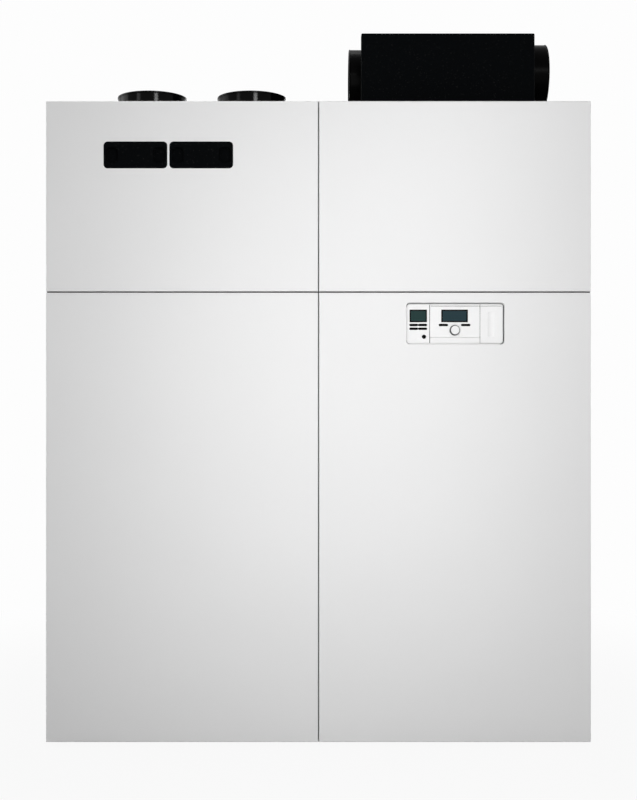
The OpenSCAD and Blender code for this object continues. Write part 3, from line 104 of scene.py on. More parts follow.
# %% Wires and finishes
class Wire:
    """A socket of a finish. Python's operators on it add Math nodes."""

    def __init__(self, finish, socket):
        self.finish = finish
        self.socket = socket

    def maths(self, operation, *values):
        return self.finish.add("ShaderNodeMath", {"operation": operation}, dict(enumerate(values)))

    def __add__(self, other):
        return self.maths("ADD", self, other)

    def __sub__(self, other):
        return self.maths("SUBTRACT", self, other)

    def __rsub__(self, other):
        return self.maths("SUBTRACT", other, self)

    def __mul__(self, other):
        return self.maths("MULTIPLY", self, other)

    def __gt__(self, other):
        return self.maths("GREATER_THAN", self, other)

    def __lt__(self, other):
        return self.maths("LESS_THAN", self, other)

    __radd__ = __add__
    __rmul__ = __mul__

    def size(self):
        return self.maths("ABSOLUTE", self)

    def root(self):
        return self.maths("SQRT", self)

    def least(self, other):
        return self.maths("MINIMUM", self, other)

    def most(self, other):
        return self.maths("MAXIMUM", self, other)


class Finish:
    """A material, or the studio's world, built node by node."""

    def __init__(self, name, owners=bpy.data.materials):
        self.material = owners.new(name)
        self.material.use_nodes = True
        self.tree = self.material.node_tree
        self.tree.nodes.clear()

    def add(self, kind, settings=None, inputs=None, output=0):
        """Adds a node. An input is a plain value or a wire, and the chosen output comes back as a wire."""
        node = self.tree.nodes.new(kind)
        for name, value in (settings or {}).items():
            setattr(node, name, value)
        for name, value in (inputs or {}).items():
            if isinstance(value, Wire):
                self.tree.links.new(value.socket, node.inputs[name])
            else:
                node.inputs[name].default_value = value
        return Wire(self, node.outputs[output]) if node.outputs else None

    def place(self):
        return self.add("ShaderNodeTexCoord", output="Object")

    def stretched(self, scale):
        """The place, squeezed along some axes. A pattern laid on it runs long where the scale is small."""
        return self.add("ShaderNodeMapping", inputs={"Vector": self.place(), "Scale": scale})

    def axes(self):
        split = self.add("ShaderNodeSeparateXYZ", inputs={"Vector": self.place()})
        return [Wire(self, socket) for socket in split.socket.node.outputs]

    def noise(self, scale, detail=2, place=None):
        spots = {"Vector": place or self.place(), "Scale": scale, "Detail": detail}
        return self.add("ShaderNodeTexNoise", inputs=spots)

    def cells(self, scale, feature="F1", output="Color"):
        spots = {"Vector": self.place(), "Scale": scale}
        return self.add("ShaderNodeTexVoronoi", {"feature": feature}, spots, output)

    def blend(self, amount, first, second):
        return self.add("ShaderNodeMix", {"data_type": "RGBA"}, {0: amount, 6: first, 7: second}, 2)

    def relief(self, height, depth, strength):
        return self.add("ShaderNodeBump", inputs={"Height": height, "Distance": depth, "Strength": strength})

    def surface(self, **sockets):
        named = {name.replace("_", " "): value for name, value in sockets.items()}
        body = self.add("ShaderNodeBsdfPrincipled", inputs=named)
        self.add("ShaderNodeOutputMaterial", inputs={"Surface": body})
        return self.material


def tint(red, green, blue):
    return (red, green, blue, 1)


def grey(value):
    return tint(value, value, value)


print("shader helpers ready")

# %% [markdown]
# ## Studio
# In the photograph the panels are brightest in their middle and fade by a fifth towards every edge.
# A soft box as tall as the cabinet, close in front of it, does that, and the camera looks through it.
# Two flat strips hang further off. Their mirror images are the two upright glints on the air sockets.
# The sides, the back and the top have a lamp each, set behind the front so that they leave it alone.
# More light would burn out the white panels, so the white background isn't made with light:
# the world and the far floor glow white only for rays that the camera or a reflection sends out.
# Near the cabinet the floor still shows some of its lit colour, so the soft shadow under it stays.

# %% Lamps, world and floor
def lamp(name, place, target, width, height, power):
    light = bpy.data.lights.new(name, "AREA")
    light.shape = "RECTANGLE"
    light.size = width
    light.size_y = height
    light.energy = power
    holder = bpy.data.objects.new(name, light)
    holder.location = place
    holder.rotation_euler = (Vector(target) - Vector(place)).to_track_quat("-Z", "Y").to_euler()
    holder.visible_camera = False
    bpy.context.collection.objects.link(holder)


lamp("front_box", (0.11, front_y - 1.31, 1.17), (0.11, 0, 1.17), 1.3, 1.9, 15.4)
lamp("right_strip", (0.9, -4.25, 2.95), (-0.35, -0.1, 1.9), 0.8, 0.26, 33)
lamp("left_strip", (-3.3, -3.4, 2.9), (-0.35, -0.1, 1.9), 0.8, 0.26, 6)
lamp("left_box", (-3.4, 0.5, 1.5), (0, 0.1, 1.1), 2.0, 2.4, 43)
lamp("right_box", (3.4, 0.5, 1.5), (0, 0.1, 1.1), 2.0, 2.4, 50)
lamp("back_box", (0.6, 3.6, 1.7), (0, 0.3, 1.1), 2.6, 2.4, 56)
lamp("top_box", (-0.7, 0.7, 4.6), (-0.2, 0.4, 1.8), 2.0, 1.6, 45)

BACKGROUND = grey(0.983)
WORLD_LIGHT = 0.2
FLOOR_HALF = 14
FLOOR_GREY = grey(0.4)
NEAR_REACH, NEAR_GLOW = 0.9, 0.94
FAR_REACH, FAR_GLOW = 2.4, 1


def seen_directly(finish):
    """1 for rays from the camera, or by way of a mirror or a glass, and otherwise 0."""
    path = finish.add("ShaderNodeLightPath", output="Is Camera Ray")
    outputs = path.socket.node.outputs
    glossy, clear = [Wire(finish, outputs[name]) for name in ("Is Glossy Ray", "Is Transmission Ray")]
    return path.most(glossy).most(clear)


air = Finish("studio_world", bpy.data.worlds)
bpy.context.scene.world = air.material
dim = air.add("ShaderNodeBackground", inputs={"Color": grey(1), "Strength": WORLD_LIGHT})
bright = air.add("ShaderNodeBackground", inputs={"Color": BACKGROUND, "Strength": 1})
both = air.add("ShaderNodeMixShader", inputs={0: seen_directly(air), 1: dim, 2: bright})
air.add("ShaderNodeOutputWorld", inputs={"Surface": both})

ground = Finish("studio_floor")
away = ground.add("ShaderNodeVectorMath", {"operation": "LENGTH"}, {0: ground.place()}, "Value")
reach = {"Value": away, "From Min": NEAR_REACH, "From Max": FAR_REACH, "To Min": NEAR_GLOW, "To Max": FAR_GLOW}
far = ground.add("ShaderNodeMapRange", {"interpolation_type": "SMOOTHSTEP"}, reach)
lit = ground.add("ShaderNodeBsdfDiffuse", inputs={"Color": FLOOR_GREY})
glow = ground.add("ShaderNodeEmission", inputs={"Color": BACKGROUND, "Strength": 1})
shown = ground.add("ShaderNodeMixShader", inputs={0: seen_directly(ground) * far, 1: lit, 2: glow})
ground.add("ShaderNodeOutputMaterial", inputs={"Surface": shown})

floor_shape = bmesh.new()
bmesh.ops.create_grid(floor_shape, x_segments=4, y_segments=4, size=FLOOR_HALF)
floor_mesh = bpy.data.meshes.new("studio_floor")
floor_shape.to_mesh(floor_mesh)
floor_shape.free()
floor_mesh.materials.append(ground.material)
floor = bpy.data.objects.new("studio_floor", floor_mesh)
bpy.context.collection.objects.link(floor)
bpy.context.scene.view_settings.view_transform = "Standard"
print("lamps, world and floor in place")

# %% [markdown]
# ## White powder coat
# The casing is sheet steel, sprayed with dry powder that is baked until it flows together.
# It flows to a satin skin with very fine waves, known as orange peel, about a millimetre across.
# The waves are too shallow for mesh detail, so a fine noise tilts the shading normal instead.
# Galvanised sheet inside the casing shows the crystals of its zinc, as cells of different greys.

# %% Casing finishes
def powder_coat():
    finish = Finish("white_powder_coat")
    cloud = finish.noise(1.7)
    peel = finish.noise(620, detail=3)
    colour = finish.blend(cloud, tint(0.80, 0.80, 0.802), tint(0.845, 0.845, 0.845))
    return finish.surface(Base_Color=colour, Roughness=0.36 + 0.08 * cloud,
                          Normal=finish.relief(peel, 0.0002, 0.35))


def galvanised_sheet():
    finish = Finish("galvanised_sheet")
    crystal = finish.cells(70)
    colour = finish.blend(crystal, tint(0.30, 0.315, 0.33), tint(0.45, 0.465, 0.48))
    scratch = finish.noise(900, detail=3, place=finish.stretched((1, 1, 0.08)))
    return finish.surface(Base_Color=colour, Metallic=0.9, Roughness=0.4 + 0.2 * crystal,
                          Normal=finish.relief(scratch, 0.0001, 0.3))


coat = powder_coat()
zinc = galvanised_sheet()
print("casing finishes:", coat.name, zinc.name)

# %% [markdown]
# ## Black bead foam, plastic and rubber
# The duct box, the filter covers and the housing of the ventilation unit are moulded from foam beads
# that swell and weld together. Close by, one sees a cobble of beads four millimetres across,
# and a few beads catch the light. Voronoi cells have that pattern: the distance to the nearest
# cell wall gives the dimple between beads, and each cell's own random number picks the bright ones.
# Black plastic has hardly any colour of its own, so its gloss decides how black it looks.
# The air collars mirror the lamps. The spigots on the duct box are matt.

# %% Foam, plastic and rubber finishes
BEADS_PER_METRE = 240
SPECKS_PER_METRE = 300
BRIGHT_CELLS = 0.86
GROOVE_WIDE = 0.16
KNOB_GRIP = 0.0010


def bead_foam():
    finish = Finish("black_bead_foam")
    bead = finish.cells(BEADS_PER_METRE)
    groove = finish.cells(BEADS_PER_METRE, "DISTANCE_TO_EDGE", "Distance")
    grain = finish.noise(1400)
    dark = finish.blend(bead, tint(0.0007, 0.0010, 0.0013), tint(0.0020, 0.0025, 0.0030))
    speck = finish.cells(SPECKS_PER_METRE)
    colour = finish.blend((speck > BRIGHT_CELLS) * (grain > 0.5), dark, grey(0.012))
    height = groove.least(GROOVE_WIDE) + 0.04 * grain
    return finish.surface(Base_Color=colour, Roughness=0.6 + 0.25 * bead, Specular_IOR_Level=0.02,
                          Normal=finish.relief(height, 0.0016, 0.8))


def black_plastic(name, rough, shine):
    finish = Finish(name)
    haze = finish.noise(38, detail=4)
    grain = finish.noise(1500)
    colour = finish.blend(haze, grey(0.0004), grey(0.0012))
    return finish.surface(Base_Color=colour, Roughness=rough + 0.05 * haze, Specular_IOR_Level=shine,
                          Normal=finish.relief(grain, 0.0001, 0.3))


def soft_rubber():
    finish = Finish("black_rubber")
    dust = finish.noise(90, detail=5)
    grain = finish.noise(1800)
    colour = finish.blend(dust, grey(0.004), grey(0.012))
    return finish.surface(Base_Color=colour, Roughness=0.68 + 0.14 * dust, Specular_IOR_Level=0.12,
                          Normal=finish.relief(grain, 0.0002, 0.5))


def moulded_plastic(name, dark, light, rough, shine=0.5):
    finish = Finish(name)
    cloud = finish.noise(24, detail=3)
    grain = finish.noise(2600)
    return finish.surface(Base_Color=finish.blend(cloud, dark, light), Roughness=rough + 0.08 * cloud,
                          Specular_IOR_Level=shine, Normal=finish.relief(grain, 0.0001, 0.35))


def knob_plastic():
    """A white cap in a dark grip: the grip is all that lies further out than the cap's radius."""
    finish = Finish("two_shot_knob")
    low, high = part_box("rotary_knob")
    x, y, z = finish.axes()
    across, up = x - (low.x + high.x) / 2, z - (low.z + high.z) / 2
    out = (across * across + up * up).root()
    grain = finish.noise(2600)
    colour = finish.blend(out > (high.x - low.x) / 2 - KNOB_GRIP, grey(0.88), grey(0.004))
    return finish.surface(Base_Color=colour, Roughness=0.4 + 0.05 * grain, Specular_IOR_Level=0.25,
                          Normal=finish.relief(grain, 0.0001, 0.35))


foam = bead_foam()
collar_black = black_plastic("glossy_collar_plastic", 0.08, 0.06)
spigot_black = black_plastic("matt_spigot_plastic", 0.24, 0.02)
rubber = soft_rubber()
console_white = moulded_plastic("white_console_plastic", grey(0.875), grey(0.915), 0.42)
key_black = moulded_plastic("black_key_plastic", grey(0.0012), grey(0.0028), 0.45, 0.04)
# Flat grey that stands in for the shade inside the console's joints: painted shade.
painted_shade_grey = moulded_plastic("painted_shade_gap_plastic", grey(0.10), grey(0.14), 0.6, 0.1)
knob_finish = knob_plastic()
fan_grey = moulded_plastic("dark_fan_plastic", grey(0.025), grey(0.045), 0.5)
tray_grey = moulded_plastic("grey_tray_plastic", grey(0.06), grey(0.09), 0.5)
core_pale = moulded_plastic("exchanger_plastic", tint(0.55, 0.62, 0.68), tint(0.66, 0.72, 0.76), 0.35)
print("moulded finishes ready")

# %% [markdown]
# ## Metals and paints inside the cabinet
# Behind the panels are drawn copper pipes, brass valves, brazed steel and rolled aluminium fins.
# A metal's colour is in its reflection, so Metallic is 1 and the noise moves its tone and roughness.
# The marks of drawing and rolling run one way, which a noise stretched along that axis gives.
# The compressor, the pump and the vessel are painted thickly, and paint sets with a coarse peel.

# %% Metal and paint finishes
def worked_metal(name, dark, light, rough, marks=(1, 1, 1)):
    finish = Finish(name)
    stain = finish.noise(14, detail=6)
    line = finish.noise(420, detail=3, place=finish.stretched(marks))
    roughness = rough + 0.16 * stain + 0.06 * line
    return finish.surface(Base_Color=finish.blend(stain, dark, light), Metallic=1.0, Roughness=roughness,
                          Normal=finish.relief(line, 0.0001, 0.3))


def thick_paint(name, dark, light, rough):
    finish = Finish(name)
    cloud = finish.noise(7, detail=4)
    peel = finish.noise(330, detail=3)
    return finish.surface(Base_Color=finish.blend(cloud, dark, light), Roughness=rough + 0.1 * cloud,
                          Normal=finish.relief(peel, 0.0005, 0.4))


def jacket_film():
    finish = Finish("cylinder_jacket")
    crease = finish.noise(9, detail=5, place=finish.stretched((1, 1, 2.4)))
    weave = finish.noise(700)
    colour = finish.blend(crease, tint(0.50, 0.52, 0.54), tint(0.62, 0.635, 0.65))
    return finish.surface(Base_Color=colour, Roughness=0.44 + 0.14 * crease,
                          Normal=finish.relief(crease + 0.05 * weave, 0.006, 0.5))


def filter_fleece():
    finish = Finish("filter_fleece")
    fibre = finish.noise(900, detail=4, place=finish.stretched((1, 0.35, 1)))
    cloud = finish.noise(60, detail=3)
    colour = finish.blend(fibre, tint(0.62, 0.65, 0.66), tint(0.84, 0.86, 0.87))
    return finish.surface(Base_Color=colour, Roughness=0.86 + 0.1 * cloud,
                          Normal=finish.relief(fibre, 0.0007, 0.8))


ALONG_Y = (1, 0.12, 1)
ALONG_Z = (1, 1, 0.1)
copper = worked_metal("drawn_copper", tint(0.46, 0.19, 0.10), tint(0.70, 0.33, 0.19), 0.26, ALONG_Z)
brass = worked_metal("cast_brass", tint(0.60, 0.44, 0.18), tint(0.80, 0.62, 0.30), 0.34)
brazed_steel = worked_metal("brazed_steel", tint(0.42, 0.42, 0.43), tint(0.62, 0.62, 0.63), 0.32, ALONG_Y)
fin_metal = worked_metal("rolled_aluminium", tint(0.44, 0.455, 0.465), tint(0.58, 0.59, 0.60), 0.3, ALONG_Z)
screw_metal = worked_metal("plated_screw", tint(0.50, 0.50, 0.52), tint(0.70, 0.70, 0.72), 0.26)
motor_grey = thick_paint("motor_paint", grey(0.07), grey(0.11), 0.44)
compressor_black = thick_paint("compressor_paint", grey(0.010), grey(0.020), 0.34)
pump_paint = thick_paint("pump_paint", tint(0.16, 0.02, 0.015), tint(0.26, 0.035, 0.025), 0.4)
vessel_red = thick_paint("vessel_paint", tint(0.38, 0.018, 0.014), tint(0.50, 0.030, 0.022), 0.32)
jacket = jacket_film()
fleece = filter_fleece()
print("metal and paint finishes ready")

# %% [markdown]
# ## Display windows
# Each window is one clear plate, printed black round its rim on the back.
# Behind the clear middle lies a liquid crystal display, a dull green or blue grey while it is dark.
# The rim is a mask: the distance from the window's middle, on X and Z, against the half size of the display.
# Both windows are one part of the construction, so its separate solids are found first,
# by walking from corner to corner along the edges until none is left.

# %% Display finish
WELD = 2e-6


def welded(name):
    """A part's surface as one mesh. The construction keeps it as a loose bag of triangles."""
    shape = bmesh.new()
    shape.from_mesh(nodes[name].data)
    bmesh.ops.remove_doubles(shape, verts=shape.verts, dist=WELD)
    return shape


def lumps(name):
    """The boxes of a part's separate solids, from left to right."""
    shape = welded(name)
    left = set(shape.verts)
    boxes = []
    while left:
        waiting, places = [left.pop()], []
        while waiting:
            corner = waiting.pop()
            places.append(corner.co)
            near = {link.other_vert(corner) for link in corner.link_edges} & left
            left -= near
            waiting.extend(near)
        boxes.append([Vector([pick(place[i] for place in places) for i in range(3)]) for pick in (min, max)])
    shape.free()
    return sorted(boxes, key=lambda box: tuple(box[0]))


def display_glass():
    finish = Finish("display_glass")
    x, y, z = finish.axes()
    rims = [(0.0040, 0.0040), (0.0045, 0.0040)]
    colours = [tint(0.0145, 0.041, 0.039), tint(0.0155, 0.039, 0.048)]
    colour = grey(0.0015)
    for (low, high), rim, tone in zip(lumps("display_windows"), rims, colours):
        middle = (low + high) / 2
        half = (high - low) / 2
        inside = ((x - middle.x).size() < half.x - rim[0]) * ((z - middle.z).size() < half.z - rim[1])
        colour = finish.blend(inside, colour, tone)
    smear = finish.noise(60, detail=3)
    return finish.surface(Base_Color=colour, Roughness=0.1 + 0.08 * smear, Specular_IOR_Level=0.05)


glass = display_glass()
print("display windows:", len(lumps("display_windows")))

# %% [markdown]
# ## Which part has which finish
# A part from the construction keeps its shape and only changes its material.
# Every part is named once here, so a forgotten one stands out at once.

# %% Finish every part
finishes = {
    coat: ["side_panel_left", "side_panel_right", "rear_panel", "top_cover_left", "top_cover_right",
           "front_panel_upper_left", "front_panel_upper_right",
           "front_panel_lower_left", "front_panel_lower_right"],
    zinc: ["base_frame", "frame_posts", "centre_partition", "mid_deck", "fan_scroll", "electronics_box"],
    screw_metal: ["casing_screws"],
    rubber: ["levelling_foot_1", "levelling_foot_2", "levelling_foot_3", "levelling_foot_4",
             "compressor_mounts"],
    collar_black: ["supply_air_collar", "extract_air_collar", "collar_seals"],
    spigot_black: ["outdoor_air_spigot", "exhaust_air_spigot"],
    foam: ["duct_box", "ventilation_housing", "filter_cover_left", "filter_cover_right"],
    core_pale: ["exchanger_core"],
    fleece: ["filter_cassette_left", "filter_cassette_right"],
    fan_grey: ["fan_wheel", "supply_fan_wheel", "extract_fan_wheel"],
    motor_grey: ["fan_motors"],
    fin_metal: ["evaporator"],
    tray_grey: ["condensate_tray"],
    compressor_black: ["compressor"],
    brazed_steel: ["condenser"],
    brass: ["diverter_valve", "refrigerant_valves"],
    copper: ["refrigerant_pipes", "water_pipes"],
    jacket: ["hot_water_cylinder"],
    pump_paint: ["circulation_pump"],
    vessel_red: ["expansion_vessel"],
    console_white: ["control_console", "controller_housing", "blank_cover"],
    knob_finish: ["rotary_knob"],
    glass: ["display_windows"],
    key_black: ["key_1", "key_2", "key_3", "key_4", "reset_button", "soft_key_left", "soft_key_right"],
}
for material, names in finishes.items():
    for name in names:
        nodes[name].data.materials.clear()
        nodes[name].data.materials.append(material)
finish_of = {name: material for material, names in finishes.items() for name in names}
print("parts without a finish:", sorted(set(nodes) - set(finish_of)))

# %% [markdown]
# ## Softened edges
# Moulded foam, plastic and folded sheet never end in a knife edge: light catches a small round there.
# A bevel has nothing to hold on loose triangles. So a copy of the part is welded first,
# its flat faces are joined up, and only then its sharp edges are bevelled.
# The duct box is rounder along its top, and the two plug-in covers end a little lower than the construction
# has them, because the joint above them shows as a line. Parts that are round already get no bevel.
# Smooth shading would bend the light on the big faces beside a bevel, and normals weighted by area
# keep them flat. The copy stands in for the part, and rides on the same body.

# %% Welded copies with soft edges
SHARP = math.radians(32)
FLAT = math.radians(0.4)
EDGE_STEPS = 2
CROWN_STEPS = 4
CROWNED = {"duct_box": 0.0038}
LOWERED = {"controller_housing": 0.0008, "blank_cover": 0.0006}
COVER_CORNER = 0.0031


def round_off(shape, edges, width, steps, clamp=False):
    """Bevels edges into a round made of so many flats."""
    bmesh.ops.bevel(shape, geom=edges, offset=width, segments=steps, profile=0.5, affect="EDGES",
                    clamp_overlap=clamp, material=-1)


def shade(shape):
    """Smooth faces that meet in sharp edges only where the surface really turns."""
    for face in shape.faces:
        face.smooth = True
    for edge in shape.edges:
        edge.smooth = len(edge.link_faces) == 2 and edge.calc_face_angle(0) < SHARP


def make_piece(name, shape, material, body):
    """Turns a finished shape into an object that rides on a body."""
    shade(shape)
    mesh = bpy.data.meshes.new(name)
    shape.to_mesh(mesh)
    shape.free()
    mesh.materials.append(material)
    piece = bpy.data.objects.new(name, mesh)
    bpy.context.collection.objects.link(piece)
    even = piece.modifiers.new("even_normals", "WEIGHTED_NORMAL")
    even.keep_sharp = True
    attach(piece, body)
    return piece


def soft_copy(name, width):
    """Stands a welded, bevelled copy in a part's place."""
    shape = welded(name)
    bmesh.ops.dissolve_limit(shape, angle_limit=FLAT, verts=shape.verts, edges=shape.edges)
    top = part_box(name)[1].z
    for vert in shape.verts:
        if name in LOWERED and top - vert.co.z < COVER_CORNER:
            vert.co.z -= LOWERED[name]
    if name in CROWNED:
        crown = [edge for edge in shape.edges if min(vert.co.z for vert in edge.verts) > top - WELD]
        round_off(shape, crown, CROWNED[name], CROWN_STEPS)
    if width:
        sharp = [edge for edge in shape.edges
                 if len(edge.link_faces) == 2 and edge.calc_face_angle(0) > SHARP]
        round_off(shape, sharp, width, EDGE_STEPS, clamp=True)
    piece = make_piece(name + "_soft", shape, finish_of[name], nodes[name]["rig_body"])
    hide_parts(name)
    return piece


feet = [name for name in finishes[rubber] if name.startswith("levelling_foot")]
soft_edges = [
    (0.0004, "white_powder_coat", finishes[coat]),
    (0.0025, "black_foam", ["duct_box"]),
    (0.0018, "black_foam", ["filter_cover_left", "filter_cover_right"]),
    (0.0005, "white_plastic", ["control_console"]),
    (0.0009, "white_plastic", ["controller_housing"]),
    (0.0007, "white_plastic", ["blank_cover"]),
    (0.0006, "white_plastic", ["rotary_knob"]),
    (0.0006, "black_plastic", ["supply_air_collar", "extract_air_collar"]),
    (0.0012, "foot_rubber", ["collar_seals"]),
    (0.0006, "black_plastic", finishes[spigot_black]),
    (0.0005, "key_plastic", finishes[key_black]),
    (0.0025, "black_foam", ["ventilation_housing"]),
    (0.0008, "grey_plastic", finishes[tray_grey]),
    (0, "cylinder_jacket", finishes[jacket]),
    (0, "vessel_red", finishes[vessel_red]),
    (0, "compressor_paint", finishes[compressor_black]),
    (0, "foot_rubber", ["compressor_mounts"]),
    (0, "brazed_steel", finishes[brazed_steel]),
    (0.0010, "pump_iron", finishes[pump_paint]),
    (0.0006, "valve_brass", finishes[brass]),
    (0, "pipe_copper", finishes[copper]),
    (0.0006, "motor_metal", finishes[motor_grey]),
    (0, "grey_plastic", finishes[fan_grey]),
    (0.0006, "foot_rubber", feet),
]
copies = [soft_copy(name, width) for width, slot, names in soft_edges for name in names]
print("softened copies:", len(copies), "with", sum(len(c.data.polygons) for c in copies), "faces")

# %% [markdown]
# ## Screws with a driver recess
# Fifteen pan head screws hold the rear panel. A close look shows the six lobes that the driver fits.
# One screw is enough work: a circle is pushed in and out into lobes, sunk to make the recess,
# and joined to a wider circle that runs down the head and on into the shank.
# It is copied to each screw's place, and the first one is taken away.

# %% Casing screws
LOBES = 6
RIM_CORNERS = 24
LOBE_RADIUS = 0.0019
LOBE_SWELL = 0.16
RECESS_DEEP = 0.0014
HEAD_HIGH = 0.0025
SHANK_RADIUS = 0.0024


def corners_of(parts):
    return [part for part in parts if isinstance(part, bmesh.types.BMVert)]


def sink(shape, edges, radius, depth):
    """Extrudes a loop and puts it at a new height, and at a new radius unless that is 0."""
    grown = bmesh.ops.extrude_edge_only(shape, edges=edges)["geom"]
    for vert in corners_of(grown):
        flat = vert.co.xy.normalized() * radius if radius else vert.co.xy
        vert.co = (*flat, depth)
    return [part for part in grown if isinstance(part, bmesh.types.BMEdge) and len(part.link_faces) == 1]


def pan_screw(shape, head_radius, length):
    """One screw at the origin, with its head's top at height 0 and its shank pointing down."""
    lobes = bmesh.ops.create_circle(shape, cap_ends=False, segments=RIM_CORNERS, radius=LOBE_RADIUS)["verts"]
    for i, vert in enumerate(lobes):
        vert.co *= 1 + LOBE_SWELL * math.cos(math.tau * LOBES * i / RIM_CORNERS)
    mouth = list({edge for vert in lobes for edge in vert.link_edges})
    recess_rim = sink(shape, mouth, 0, -RECESS_DEEP)
    bmesh.ops.contextual_create(shape, geom=recess_rim)
    profile = [(head_radius * 0.8, HEAD_HIGH * 0.08), (head_radius * 0.95, HEAD_HIGH * 0.3),
               (head_radius, HEAD_HIGH * 0.6), (head_radius, HEAD_HIGH),
               (SHANK_RADIUS, HEAD_HIGH), (SHANK_RADIUS, length)]
    rim = mouth
    for radius, depth in profile:
        rim = sink(shape, rim, radius, -depth)
    bmesh.ops.contextual_create(shape, geom=rim)
    bmesh.ops.recalc_face_normals(shape, faces=shape.faces)


screws = bmesh.new()
places = lumps("casing_screws")
low, high = places[0]
pan_screw(screws, (high.x - low.x) / 2, high.y - low.y)
bmesh.ops.rotate(screws, verts=screws.verts, cent=(0, 0, 0), matrix=Matrix.Rotation(math.radians(-90), 3, "X"))
model = list(screws.verts) + list(screws.edges) + list(screws.faces)
for low, high in places:
    twin = bmesh.ops.duplicate(screws, geom=model)["geom"]
    bmesh.ops.translate(screws, verts=corners_of(twin),
                        vec=((low.x + high.x) / 2, high.y, (low.z + high.z) / 2))
bmesh.ops.delete(screws, geom=corners_of(model), context="VERTS")
fixings = make_piece("casing_screws_lobed", screws, screw_metal, "cabinet")
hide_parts("casing_screws")
print("casing screws:", len(places), "with", len(fixings.data.polygons), "faces")

# %% [markdown]
# ## Seals in the seams
# The seams between the front panels look black, because a soft black seal lies in the bottom of each gap, as
# painted shade for the shadow in the gap.
# It is a narrow strip with a shallow channel along its face, so it starts as a block,
# its front face is inset and pushed in, and its edges are rounded.
# One strip runs the cabinet's full height, and one to each side from it.

# %% Seam seals
SEAL_DEEP = 0.013
SEAL_SLACK = 0.00035
SEAL_SHORT = 0.002
CROSSING = 0.0002
CHANNEL_SHARE = 0.25
ROUND_SHARE = 0.4


def span(x, y, z):
    """The two corners of a block, from its reach along each axis."""
    return [Vector(corner) for corner in zip(x, y, z)]


def channel_strip(shape, low, high):
    """Adds one channelled strip between two corners."""
    size = high - low
    matrix = Matrix.Translation((low + high) / 2) @ Matrix.Diagonal((*size, 1))
    corners = bmesh.ops.create_cube(shape, size=1, matrix=matrix)["verts"]
    faces = {face for corner in corners for face in corner.link_faces}
    front = min(faces, key=lambda face: face.calc_center_median().y)
    rim = min(size.x, size.z) * CHANNEL_SHARE
    bmesh.ops.inset_individual(shape, faces=[front], thickness=rim, depth=-rim)
    edges = list({edge for corner in corners for edge in corner.link_edges})
    round_off(shape, edges, rim * ROUND_SHARE, EDGE_STEPS)


def strips_piece(name, spans, material):
    """One object of channelled strips, fixed to the cabinet."""
    shape = bmesh.new()
    for low, high in spans:
        channel_strip(shape, low, high)
    return make_piece(name, shape, material, "cabinet")


upper_left, upper_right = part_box("front_panel_upper_left"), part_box("front_panel_upper_right")
lower_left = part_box("front_panel_lower_left")
seal_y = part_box("frame_posts")[0].y
seal_depth = (seal_y - SEAL_DEEP, seal_y)
seam_spans = [span((upper_left[1].x + SEAL_SLACK, upper_right[0].x - SEAL_SLACK), seal_depth,
                   (lower_left[0].z, upper_left[1].z))]
for side in (-1, 1):
    reach = sorted((side * (upper_right[0].x + CROSSING), side * (upper_right[1].x - SEAL_SHORT)))
    seam_spans.append(span(reach, seal_depth, (lower_left[1].z + SEAL_SLACK, upper_left[0].z - SEAL_SLACK)))
# Black strips in the seams: painted shade for the gaps between the panels.
seals = strips_piece("seam_shade_seals", seam_spans, rubber)
print("seam seals:", len(seals.data.polygons), "faces")

# %% [markdown]
# ## Small parts of the console
# The controller and the blank cover are plugged into the console, and each joint round them is a groove.
# What shows in it is the console's shaded inside, so a narrow grey strip of painted shade lies at the bottom
# of each, and one more strip of painted shade at the console's right edge, where the gap to the panel looks
# darkest.
# Along its left and lower edge the console has a white lip, which makes that gap look thinner.
# Each pair of menu keys looks like one bar with a waist, so a black web fills the gap between the two.
# It is fixed to the console and leaves the keys free to be pressed.
# The knob stands in a dark ring of painted shadow, turned from a short profile. Its outer side is pushed
# down and to the left, so that the painted shadow shows as a crescent there.

# %% Console details
TOUCH = 0.00005
JOINT_FACE, JOINT_BACK = 0.0015, 0.0029
SIDE_FACE, LIP_FACE, EDGE_BACK = 0.0005, 0.0003, 0.0020
LEFT_JOINT = 0.00175
JOINT_BELOW, JOINT_ABOVE = 0.0005, 0.00055
JOINT_SHORT = 0.003
CONSOLE_CORNER = 0.009
SIDE_WIDE, LEFT_LIP, LOWER_LIP = 0.0016, 0.0012, 0.0015
WEB_SUNK, WEB_ROOT, WEB_WAIST = 0.0004, 0.0002, 0.0010
# Size and offset of the dark ring that paints the knob's shadow.
SHADOW_RING_IN, SHADOW_RING_OUT, SHADOW_RING_DEEP = 0.0003, 0.0013, 0.0019
SHADOW_CRESCENT_SHIFT = Vector((-0.0004, 0, -0.0004))
TURN_STEPS = 64


def turned_ring(shape, centre, inner, outer, deep):
    """Spins a small block into a ring about an axis along Y, and pushes its outer side off centre into a
    crescent of painted shadow.
    """
    corners = [(inner, 0), (outer, 0), (outer, deep), (inner, deep)]
    loop = [shape.verts.new(centre + Vector((radius, depth, 0))) for radius, depth in corners]
    rim = [shape.edges.new((loop[i], loop[i - 1])) for i in range(4)]
    bmesh.ops.spin(shape, geom=loop + rim, cent=centre, axis=(0, 1, 0), dvec=(0, 0, 0),
                   angle=math.tau, steps=TURN_STEPS, use_merge=True)
    for vert in shape.verts:
        if (vert.co - centre).xz.length > (inner + outer) / 2:
            vert.co += SHADOW_CRESCENT_SHIFT
    bmesh.ops.recalc_face_normals(shape, faces=shape.faces)


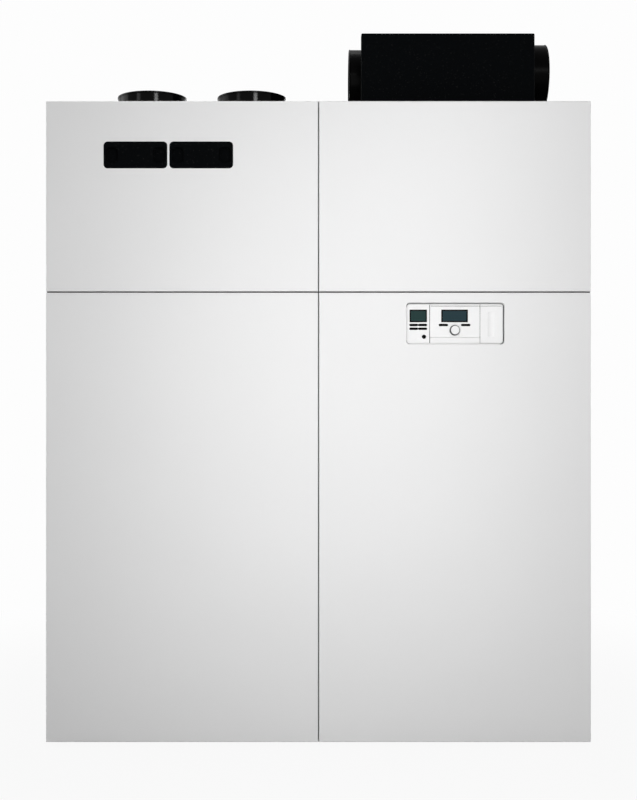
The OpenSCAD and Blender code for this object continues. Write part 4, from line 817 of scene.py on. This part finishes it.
console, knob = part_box("control_console"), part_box("rotary_knob")
controller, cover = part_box("controller_housing"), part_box("blank_cover")
face_y = controller[0].y
joint_depth = (face_y + JOINT_FACE, face_y + JOINT_BACK)
full_height = (console[0].z + JOINT_SHORT, console[1].z - JOINT_SHORT)
straight_z = (console[0].z + CONSOLE_CORNER, console[1].z - CONSOLE_CORNER)
straight_x = (console[0].x + CONSOLE_CORNER, console[1].x - CONSOLE_CORNER)
lip_depth = (face_y + LIP_FACE, face_y + EDGE_BACK)

# Grey strips in the joints and along the console's right edge: painted shade.
shade_strip_spans = [span((controller[0].x - LEFT_JOINT, controller[0].x - TOUCH), joint_depth, full_height),
             span((controller[1].x + TOUCH, cover[0].x - TOUCH), joint_depth, full_height)]
for low, high in (controller, cover):
    shade_strip_spans.append(span((low.x + JOINT_SHORT, high.x - JOINT_SHORT), joint_depth,
                          (high.z - JOINT_BELOW, high.z + JOINT_ABOVE)))
shade_strip_spans.append(span((console[1].x - TOUCH, console[1].x + SIDE_WIDE),
                      (face_y + SIDE_FACE, face_y + EDGE_BACK), straight_z))
lip_spans = [span((console[0].x - LEFT_LIP, console[0].x + TOUCH), lip_depth, straight_z),
             span(straight_x, lip_depth, (console[0].z - LOWER_LIP, console[0].z + TOUCH))]
web_spans = []
for left_key, right_key in [(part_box("key_1"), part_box("key_2")), (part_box("key_3"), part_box("key_4"))]:
    web_spans.append(span((left_key[1].x + TOUCH, right_key[0].x - TOUCH),
                          (left_key[0].y + WEB_SUNK, face_y + WEB_ROOT),
                          (left_key[0].z + WEB_WAIST, left_key[1].z - WEB_WAIST)))

knob_middle = (knob[0] + knob[1]) / 2
knob_radius = (knob[1].x - knob[0].x) / 2
# A dark ring, offset down and to the left: the knob's painted shadow.
ring = bmesh.new()
turned_ring(ring, Vector((knob_middle.x, face_y + SIDE_FACE, knob_middle.z)),
            knob_radius + SHADOW_RING_IN, knob_radius + SHADOW_RING_OUT, SHADOW_RING_DEEP)
small = [strips_piece("console_shade_strips", shade_strip_spans, painted_shade_grey),
         strips_piece("console_lips", lip_spans, console_white),
         strips_piece("key_webs", web_spans, key_black),
         make_piece("knob_shadow_crescent", ring, key_black, "cabinet")]
print("console details:", {piece.name: len(piece.data.polygons) for piece in small})
